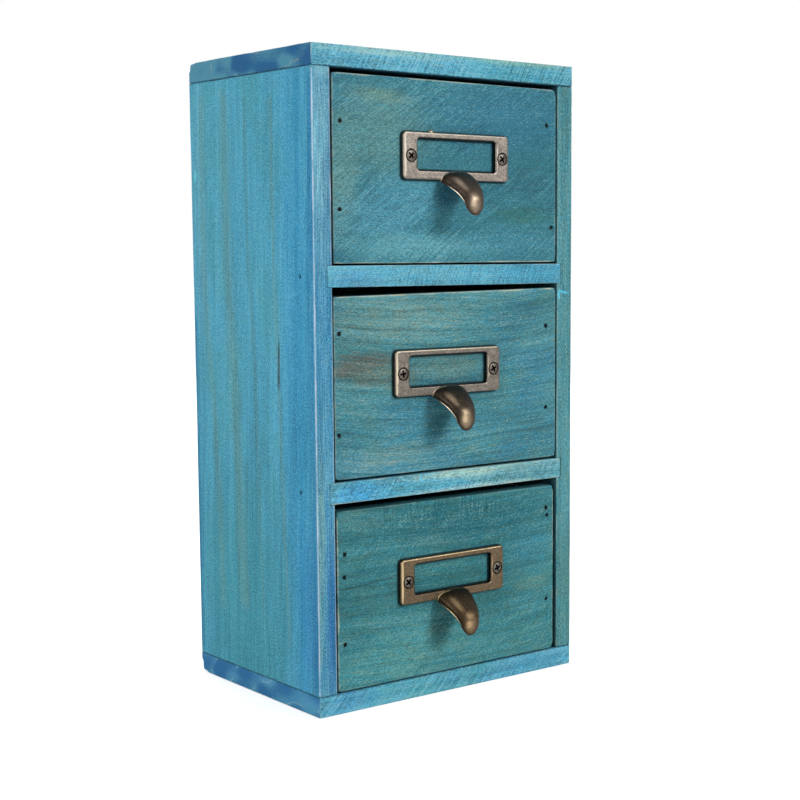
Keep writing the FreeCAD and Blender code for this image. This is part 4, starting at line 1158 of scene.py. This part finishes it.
wood = {}
wood["left_side_board"] = stained_wood(
    "stained_left_side", "z", (82, 153, 180), (80, 150, 170), 3, ring=0.2, ring_width=4,
    fibre=0.28, speck=0.46, grit=(0.7, 0.34), hue=0.7, seam_dark=0.5, broad=0.12, wobble=1.5,
    scratch=0.1, level=(0.87, 0.95, 0.95), slant=0.03, relief=0.2, streaks=LEFT_STREAKS,
    wear=((190, 204, 222), 0.7, 0.85), ragged_wear=1.2, front_tint=(102, 156, 178),
    # The shaded entry is painted shade on the inner face, inside the bays.
    shaded=((1, 0, 0), 0.6),
    spots=(
        ((40, 12), (70, 45), 0, (66, 140, 156), 0.85, 0.8),
        ((200, 41), (80, 8), 0, (100, 160, 182), 0.6, 0.6),
        ((140, -35), (190, 16), 0, (62, 142, 182), 0.75, 0.5),
        ((40, -40), (44, 9), 0, (58, 128, 178), 0.7, 0.6),
        ((215.8, 44.1), (3.2, 1.5), 0, (120, 204, 220), 0.9, 0.2),
    ),
    edge_spots=(
        ((222, -62), (50, 7), 0, (152, 194, 202), 0.9, 0.6),
        ((66, -65), (60, 2.6), 1, (134, 172, 162), 0.8, 0.9),
        ((40, -60.2), (44, 2.8), 0, (46, 102, 156), 0.9, 0.8),
        # Painted shade: a dark line along the opening beside the top drawer.
        ((216, -58.2), (44, 0.9), 0, (16, 34, 46), 0.9, 0.2),
    ),
)
wood["right_side_board"] = stained_wood(
    "stained_right_side", "z", (86, 144, 152), (78, 142, 158), 11, ring=0.3, ring_width=3.2,
    fibre=0.35, scratch_angle=60, scratch=0.3, wear=(CREAM, 0.4, 0.5), hue=1.6,
    # The shaded entry is painted shade on the inner face, inside the bays.
    level=(0.88, 0.91, 0.92), front_tint=(82, 140, 146), shaded=((-1, 0, 0), 0.6),
    edge_spots=(
        ((216, 62), (46, 8), 0, (72, 130, 138), 0.7, 0.6),
        ((34, 62), (34, 8), 0, (86, 138, 134), 0.6, 0.8),
        ((166.4, 61.6), (0.8, 4.2), 12, (92, 196, 222), 0.9, 0.25),
        ((165.0, 59.4), (2.2, 0.9), 0, (96, 200, 226), 0.9, 0.25),
    ),
)
wood["top_board"] = stained_wood(
    "stained_top", "x", (84, 150, 172), (80, 150, 170), 5, scratch_angle=58, scratch=0.6,
    fibre=0.25, wear=(CREAM, 0.4, 0.4), seam_dark=0.65,
    end_grain=((34, 86, 128), (72, 128, 150), (128, 152, 140), (292.0, -14.0), 13.0, 0.006),
    spots=(
        ((42, 258), (32, 12), 0, (62, 132, 150), 0.8, 0.6),
        ((-30, 262), (40, 2.4), 0, (140, 176, 166), 0.5, 0.9),
        ((30, 262.4), (40, 1.8), 0, (130, 170, 150), 0.5, 0.9),
    ),
)
wood["bottom_board"] = stained_wood(
    "stained_bottom", "x", (88, 158, 182), (76, 150, 164), 7, scratch_angle=42, scratch=0.6,
    wear=(CREAM, 0.4, 0.4), seam_dark=0.5,
    end_grain=((42, 101, 146), (76, 140, 172), (132, 170, 182), (-60.0, -40.0), 12.0, 0.0),
    spots=(
        ((52, 4), (18, 6), 0, (60, 132, 160), 0.6, 0.8),
        ((-50, 4), (18, 6), 0, (76, 146, 184), 0.5, 0.8),
    ),
)
wood["upper_divider"] = stained_wood(
    "stained_upper_divider", "x", (88, 155, 176), (80, 154, 178), 9, scratch_angle=74, scratch=0.6,
    fibre=0.2, wear=(CREAM, 0.4, 0.4), seam_dark=0.4,
    spots=(
        ((42, 174), (26, 10), 0, (66, 144, 174), 0.7, 0.6),
        ((-48, 173), (14, 5), 0, (72, 132, 164), 0.7, 0.8),
    ),
)
wood["lower_divider"] = stained_wood(
    "stained_lower_divider", "x", (84, 158, 180), (98, 160, 172), 13, scratch_angle=60,
    scratch=0.45, wear=(CREAM, 0.5, 0.6), seam_dark=0.4,
    spots=(
        ((-47, 88), (18, 7), 0, (62, 152, 202), 0.7, 0.7),
        ((14, 92), (52, 2.4), 0, (158, 190, 178), 0.75, 0.8),
        ((42, 89), (32, 7), 0, (76, 128, 136), 0.85, 0.8),
        ((10, 85.6), (44, 1.3), 0, (160, 190, 190), 0.6, 0.8),
        ((-16, 91.4), (0.7, 1.8), 8, (76, 186, 222), 0.9, 0.2),
    ),
)
wood["back_panel"] = stained_wood("stained_back_panel", "z", (84, 148, 166), (78, 140, 150), 15,
                                  ring=0.5)
# Painted shade on the top faces of the drawer fronts.
SHADED_TOP = ((0, 0, 1), 0.45)
wood["top_drawer_front"] = stained_wood(
    "stained_top_front", "x", (62, 123, 137), (56, 115, 131), 17, scratch_angle=36, scratch=0.4,
    ring=0.09, fibre=0.16, broad=0.15, speck=0.38, grit=(0.8, 0.32), hue=0.9,
    nail_marks=marks_on("top_drawer_front", Y), holder="top", wear=(CREAM, 0.75, 0.8),
    shaded=SHADED_TOP, level=(0.89, 0.92, 0.92),
    spots=(
        ((-32, 231), (28, 21), -8, (92, 140, 142), 0.85, 0.25),
        ((-34, 245), (20, 3.2), -6, (112, 142, 124), 0.45, 0.9),
        ((-52, 212), (9, 30), 0, (108, 150, 146), 0.6, 0.8),
        ((-26, 202), (34, 14), 12, (82, 146, 166), 0.8, 0.8),
        ((40, 199), (20, 5), 0, (56, 112, 104), 0.6, 0.8),
        ((34, 188), (26, 7), 0, (68, 130, 148), 0.6, 0.8),
        ((28, 238), (42, 17), 0, (50, 109, 132), 0.7, 0.8),
        ((46, 215), (16, 18), 0, (50, 106, 119), 0.7, 0.8),
        ((-20, 186), (42, 7), 0, (94, 156, 168), 0.75, 0.8),
        # Painted shadow below and left of the pull.
        ((-2, 207), (8, 7), 20, (26, 78, 98), 0.7, 0.4),
    ),
)
wood["middle_drawer_front"] = stained_wood(
    "stained_middle_front", "x", (72, 129, 138), (66, 126, 144), 19, scratch_angle=28,
    scratch=0.2, ring=0.34, ring_width=2.6, fibre=0.36, speck=0.36, bend=-0.0012, wobble=4.0,
    hue=1.7, level=(0.92, 0.93, 0.92), nail_marks=marks_on("middle_drawer_front", Y),
    holder="middle", wear=(CREAM, 0.75, 0.8), shaded=SHADED_TOP, dashes=0.7,
    spots=(
        ((-28, 157), (42, 12), 2, (106, 147, 147), 0.75, 0.8),
        ((-46, 139), (20, 6.5), 5, (92, 102, 97), 0.95, 0.9),
        ((-34, 134), (24, 5), 4, (92, 114, 108), 0.75, 0.9),
        ((0, 137), (20, 8), 0, (96, 134, 132), 0.7, 0.8),
        ((36, 157), (20, 10), 6, (50, 104, 118), 0.75, 0.9),
        ((44, 124), (12, 11), 0, (56, 120, 146), 0.6, 0.9),
        ((10, 112), (50, 9), 4, (66, 130, 148), 0.6, 0.9),
        ((-30, 102), (26, 5), 4, (92, 134, 138), 0.7, 0.9),
        # Painted shadow below and left of the pull.
        ((-6, 113), (8, 7), 20, (34, 84, 96), 0.7, 0.4),
    ),
)
wood["bottom_drawer_front"] = stained_wood(
    "stained_bottom_front", "x", (66, 127, 133), (58, 118, 124), 23, scratch_angle=40,
    scratch=0.22, ring=0.28, ring_width=3.4, fibre=0.26, grit=(0.7, 0.32), bend=-0.0006,
    nail_marks=marks_on("bottom_drawer_front", Y), holder="bottom", chatter=(-8, 42, 68, 76),
    wear=(CREAM, 0.7, 0.75), hue=1.6, shaded=SHADED_TOP, level=(0.9, 0.94, 0.94),
    streaks=((((-57, 50.5), (-40, 51.5), (-24, 53)), 0.7, (44, 70, 70), 0.7),),
    spots=(
        ((-46, 76), (16, 6), 0, (86, 134, 136), 0.7, 0.8),
        ((12, 71), (62, 15), 0, (36, 97, 106), 0.95, 0.6),
        ((-38, 56), (18, 10), 0, (50, 112, 122), 0.6, 0.8),
        ((-6, 46), (26, 8), 0, (50, 110, 114), 0.7, 0.8),
        ((-24, 20), (44, 12), 6, (86, 146, 146), 0.7, 0.8),
        ((44, 56), (16, 10), 0, (58, 122, 140), 0.6, 0.8),
        ((46, 40), (14, 4), 3, (104, 142, 128), 0.5, 0.9),
        ((30, 18), (34, 10), 0, (72, 136, 140), 0.5, 0.8),
        # Painted shadow below and left of the pull.
        ((-5, 28), (8, 8), 20, (42, 84, 86), 0.65, 0.4),
    ),
)
for number, name in enumerate(DRAWERS):
    inner, cross = (
        stained_wood(f"stained_{name}_{part}", grain, (76, 136, 146), (120, 152, 142),
                     seed + number, ring=0.45, scratch=0.2)
        for part, grain, seed in (("box", "y", 31), ("back", "x", 41)))
    panel = stained_wood(f"plywood_{name}", "x", (178, 158, 122), (140, 164, 148), 51 + number,
                         ring=0.5, ring_width=9, scratch=0.1, patch=(0.62, 0.8))
    wood[f"{name}_drawer_left_side"] = inner
    wood[f"{name}_drawer_right_side"] = inner
    wood[f"{name}_drawer_back"] = cross
    wood[f"{name}_drawer_bottom"] = panel

# Pieces

# Each front's share of wear on its left, right, lower and upper edge.
FRONT_RUB = {"top": (0.4, 0.3, 0.9, 0.55), "middle": (0.4, 0.15, 0.15, 0.75),
             "bottom": (0.8, 0.55, 0.15, 0.12)}
# The sides that meet another board, as (axis, whether it is the upper one).
SIDE_SEAMS = ((Z, False), (Z, True))
DIVIDER_SEAMS = ((X, False), (X, True))
# Distances between a board's grid lines.
SIDE_STEP, DIVIDER_STEP, FRONT_STEP, HIDDEN_STEP, BOTTOM_STEP = 1.6, 1.8, 1.5, 2.4, 2.6
REAR_ROUND, FRONT_CORNER, PANEL_WEAR = 1.8, 1.1, 0.4
# Heights of the middle front's top edge, on the left and on the right.
MIDDLE_FRONT_TOP = (166.6, 168.4)
# Pieces out of the boards' edges, each as (centre, radii).
CHIPS = {
    "left_side_board": (((-66.7, 44.4, 215.8), (0.7, 1.3, 3.0)),),
    "right_side_board": (
        ((61.6, -47.7, 166.4), (0.8, 0.6, 3.8)), ((59.6, -47.7, 165.2), (1.9, 0.6, 0.9)),
    ),
    "lower_divider": (((-16.0, -47.7, 93.3), (0.9, 0.9, 1.1)),),
}
for seed, (node, grain, step, seams, rear_round) in enumerate((
        ("top_board", X, SIDE_STEP, SIDE_SEAMS[:1], REAR_ROUND),
        ("bottom_board", X, SIDE_STEP, SIDE_SEAMS[1:], -REAR_ROUND),
        ("left_side_board", Z, SIDE_STEP, SIDE_SEAMS, None),
        ("right_side_board", Z, SIDE_STEP, SIDE_SEAMS, None),
        ("upper_divider", X, DIVIDER_STEP, DIVIDER_SEAMS, None),
        ("lower_divider", X, DIVIDER_STEP, DIVIDER_SEAMS, None)), 1):
    board(node, grain, wood[node], step, seed, seams=seams, rear_round=rear_round,
          chips=CHIPS.get(node, ()))
board("back_panel", Z, wood["back_panel"], HIDDEN_STEP, 7, wear=PANEL_WEAR)
for number, name in enumerate(DRAWERS):
    slope = MIDDLE_FRONT_TOP if name == "middle" else None
    drawer = f"{name}_drawer"
    board(f"{drawer}_front", X, wood[f"{drawer}_front"], FRONT_STEP, 10 + number, slope=slope,
          corner=FRONT_CORNER, rub=FRONT_RUB[name])
    for part, grain in (("left_side", Y), ("right_side", Y), ("back", X)):
        board(f"{drawer}_{part}", grain, wood[f"{drawer}_{part}"], HIDDEN_STEP, 20 + number)
    board(f"{drawer}_bottom", X, wood[f"{drawer}_bottom"], BOTTOM_STEP, 30 + number,
          wear=PANEL_WEAR)

# Each casting's face, bright edge (polish and painted highlight), dark (pits and painted shade),
# pull body and painted highlight colours.
bronze = {
    "top": cast_bronze("bronze_top", (110, 103, 96), (204, 192, 175), (30, 25, 21),
                       (60, 52, 45), (148, 132, 113), 1),
    "middle": cast_bronze("bronze_middle", (100, 94, 87), (204, 188, 164), (26, 22, 19),
                          (52, 45, 38), (154, 136, 111), 2),
    "bottom": cast_bronze("bronze_bottom", (90, 77, 60), (194, 171, 132), (28, 22, 16),
                          (54, 44, 32), (144, 121, 91), 3),
}
black_steel = dark_steel("black_screw", (60, 55, 50), (112, 105, 96), (74, 66, 56))
nail_steel = dark_steel("rusty_nail", (8, 8, 9), (24, 23, 23), (20, 15, 13), 0.6)
for name in DRAWERS:
    burr = (-12.6, -1.0, PLATE_HEIGHT / 2 + 0.1) if name == "top" else None
    label_holder(name, bronze[name], burr)
    holder_screws(name, black_steel)
for node in NAIL_NODES:
    mesh = frame["nodes"][node].data
    mesh.materials.clear()
    mesh.materials.append(nail_steel)

# Light, floor and camera

KEY_LEVEL, FILL_LEVEL, TOP_LEVEL, REAR_LEVEL, WORLD_LEVEL = 0.66, 0.61, 0.25, 0.55, 0.26
LAMP_AIM = Vector((0, 0, 0.13))
FLOOR_HALF, FLOOR_DROP = 6, 0.0002


def direction(azimuth, elevation):
    """The way from the object to a place round it, in degrees from the front and up."""
    a, e = math.radians(azimuth), math.radians(elevation)
    return Vector((math.sin(a) * math.cos(e), -math.cos(a) * math.cos(e), math.sin(e)))


def softbox(name, azimuth, elevation, distance, size, level):
    """A square lamp whose level is what it adds to a white surface that faces it."""
    lamp = bpy.data.lights.new(name, "AREA")
    lamp.shape = "RECTANGLE"
    lamp.size, lamp.size_y = size, size
    lamp.energy = math.pi ** 2 * distance ** 2 * level
    item = bpy.data.objects.new(name, lamp)
    item.visible_camera = False
    bpy.context.scene.collection.objects.link(item)
    back = direction(azimuth, elevation)
    item.location = LAMP_AIM + back * distance
    item.rotation_mode = "QUATERNION"
    item.rotation_quaternion = (-back).to_track_quat("-Z", "Y")


softbox("key", 28, 26, 1.6, 0.5, KEY_LEVEL)
softbox("fill", -82, 20, 1.4, 1.0, FILL_LEVEL)
softbox("top_light", 0, 82, 1.2, 1.0, TOP_LEVEL)
softbox("rear_light", 165, 25, 1.6, 0.8, REAR_LEVEL)

world = bpy.data.worlds.new("studio")
bpy.context.scene.world = world
g = Graph(world)
dim, white = (g.out("ShaderNodeBackground", {"Color": WHITE, "Strength": strength})
              for strength in (WORLD_LEVEL, 1.0))
g.node("ShaderNodeOutputWorld", (g.out("ShaderNodeMixShader", (g.seen(), dim, white)),))

floor_mesh = bpy.data.meshes.new("floor")
floor_mesh.from_pydata([(x * FLOOR_HALF, y * FLOOR_HALF, -FLOOR_DROP)
                        for x, y in ((-1, -1), (1, -1), (1, 1), (-1, 1))], [], [(0, 1, 2, 3)])
floor = bpy.data.objects.new("floor", floor_mesh)
bpy.context.scene.collection.objects.link(floor)
g = Graph(bpy.data.materials.new("pale_floor"))
matte = g.out("ShaderNodeBsdfDiffuse", {"Color": (0.8, 0.8, 0.8, 1)})
off_centre = g.vector("LENGTH", g.out("ShaderNodeTexCoord", output="Object"))
brightness = g.seen() * g.smooth(off_centre, 0.3, 2.5, 0.55, 1.0)
glow = g.out("ShaderNodeEmission", {"Color": WHITE, "Strength": brightness})
g.node("ShaderNodeOutputMaterial", (g.out("ShaderNodeAddShader", (matte, glow)),))
floor_mesh.materials.append(g.owner)

CAMERA_PLACE = Vector((-399.26, -563.73, 186.10)) * MM
CAMERA_AZIMUTH, CAMERA_ELEVATION, CAMERA_ROLL = -39.726, 6.544, -0.019
CAMERA_FOCAL_PIXELS, IMAGE_PIXELS = 1582.37, 800
OPTICAL_CENTRE_X, OPTICAL_CENTRE_Y = 506.8, 427.9
camera_data = bpy.data.cameras.new("camera")
camera_data.sensor_width = 36
camera_data.lens = CAMERA_FOCAL_PIXELS / IMAGE_PIXELS * camera_data.sensor_width
camera_data.shift_x = 0.5 - OPTICAL_CENTRE_X / IMAGE_PIXELS
camera_data.shift_y = OPTICAL_CENTRE_Y / IMAGE_PIXELS - 0.5
camera_data.clip_start, camera_data.clip_end = 0.01, 50
camera = bpy.data.objects.new("camera", camera_data)
bpy.context.scene.collection.objects.link(camera)
back = direction(CAMERA_AZIMUTH, CAMERA_ELEVATION)
right = (-back).cross(Vector((0, 0, 1))).normalized()
up = right.cross(-back)
roll = math.radians(CAMERA_ROLL)
right, up = (math.cos(roll) * right + math.sin(roll) * up,
             -math.sin(roll) * right + math.cos(roll) * up)
camera.matrix_world = Matrix((
    (right.x, up.x, back.x, CAMERA_PLACE.x),
    (right.y, up.y, back.y, CAMERA_PLACE.y),
    (right.z, up.z, back.z, CAMERA_PLACE.z),
    (0, 0, 0, 1),
))
bpy.context.scene.camera = camera
bpy.context.scene.view_settings.view_transform = "Standard"
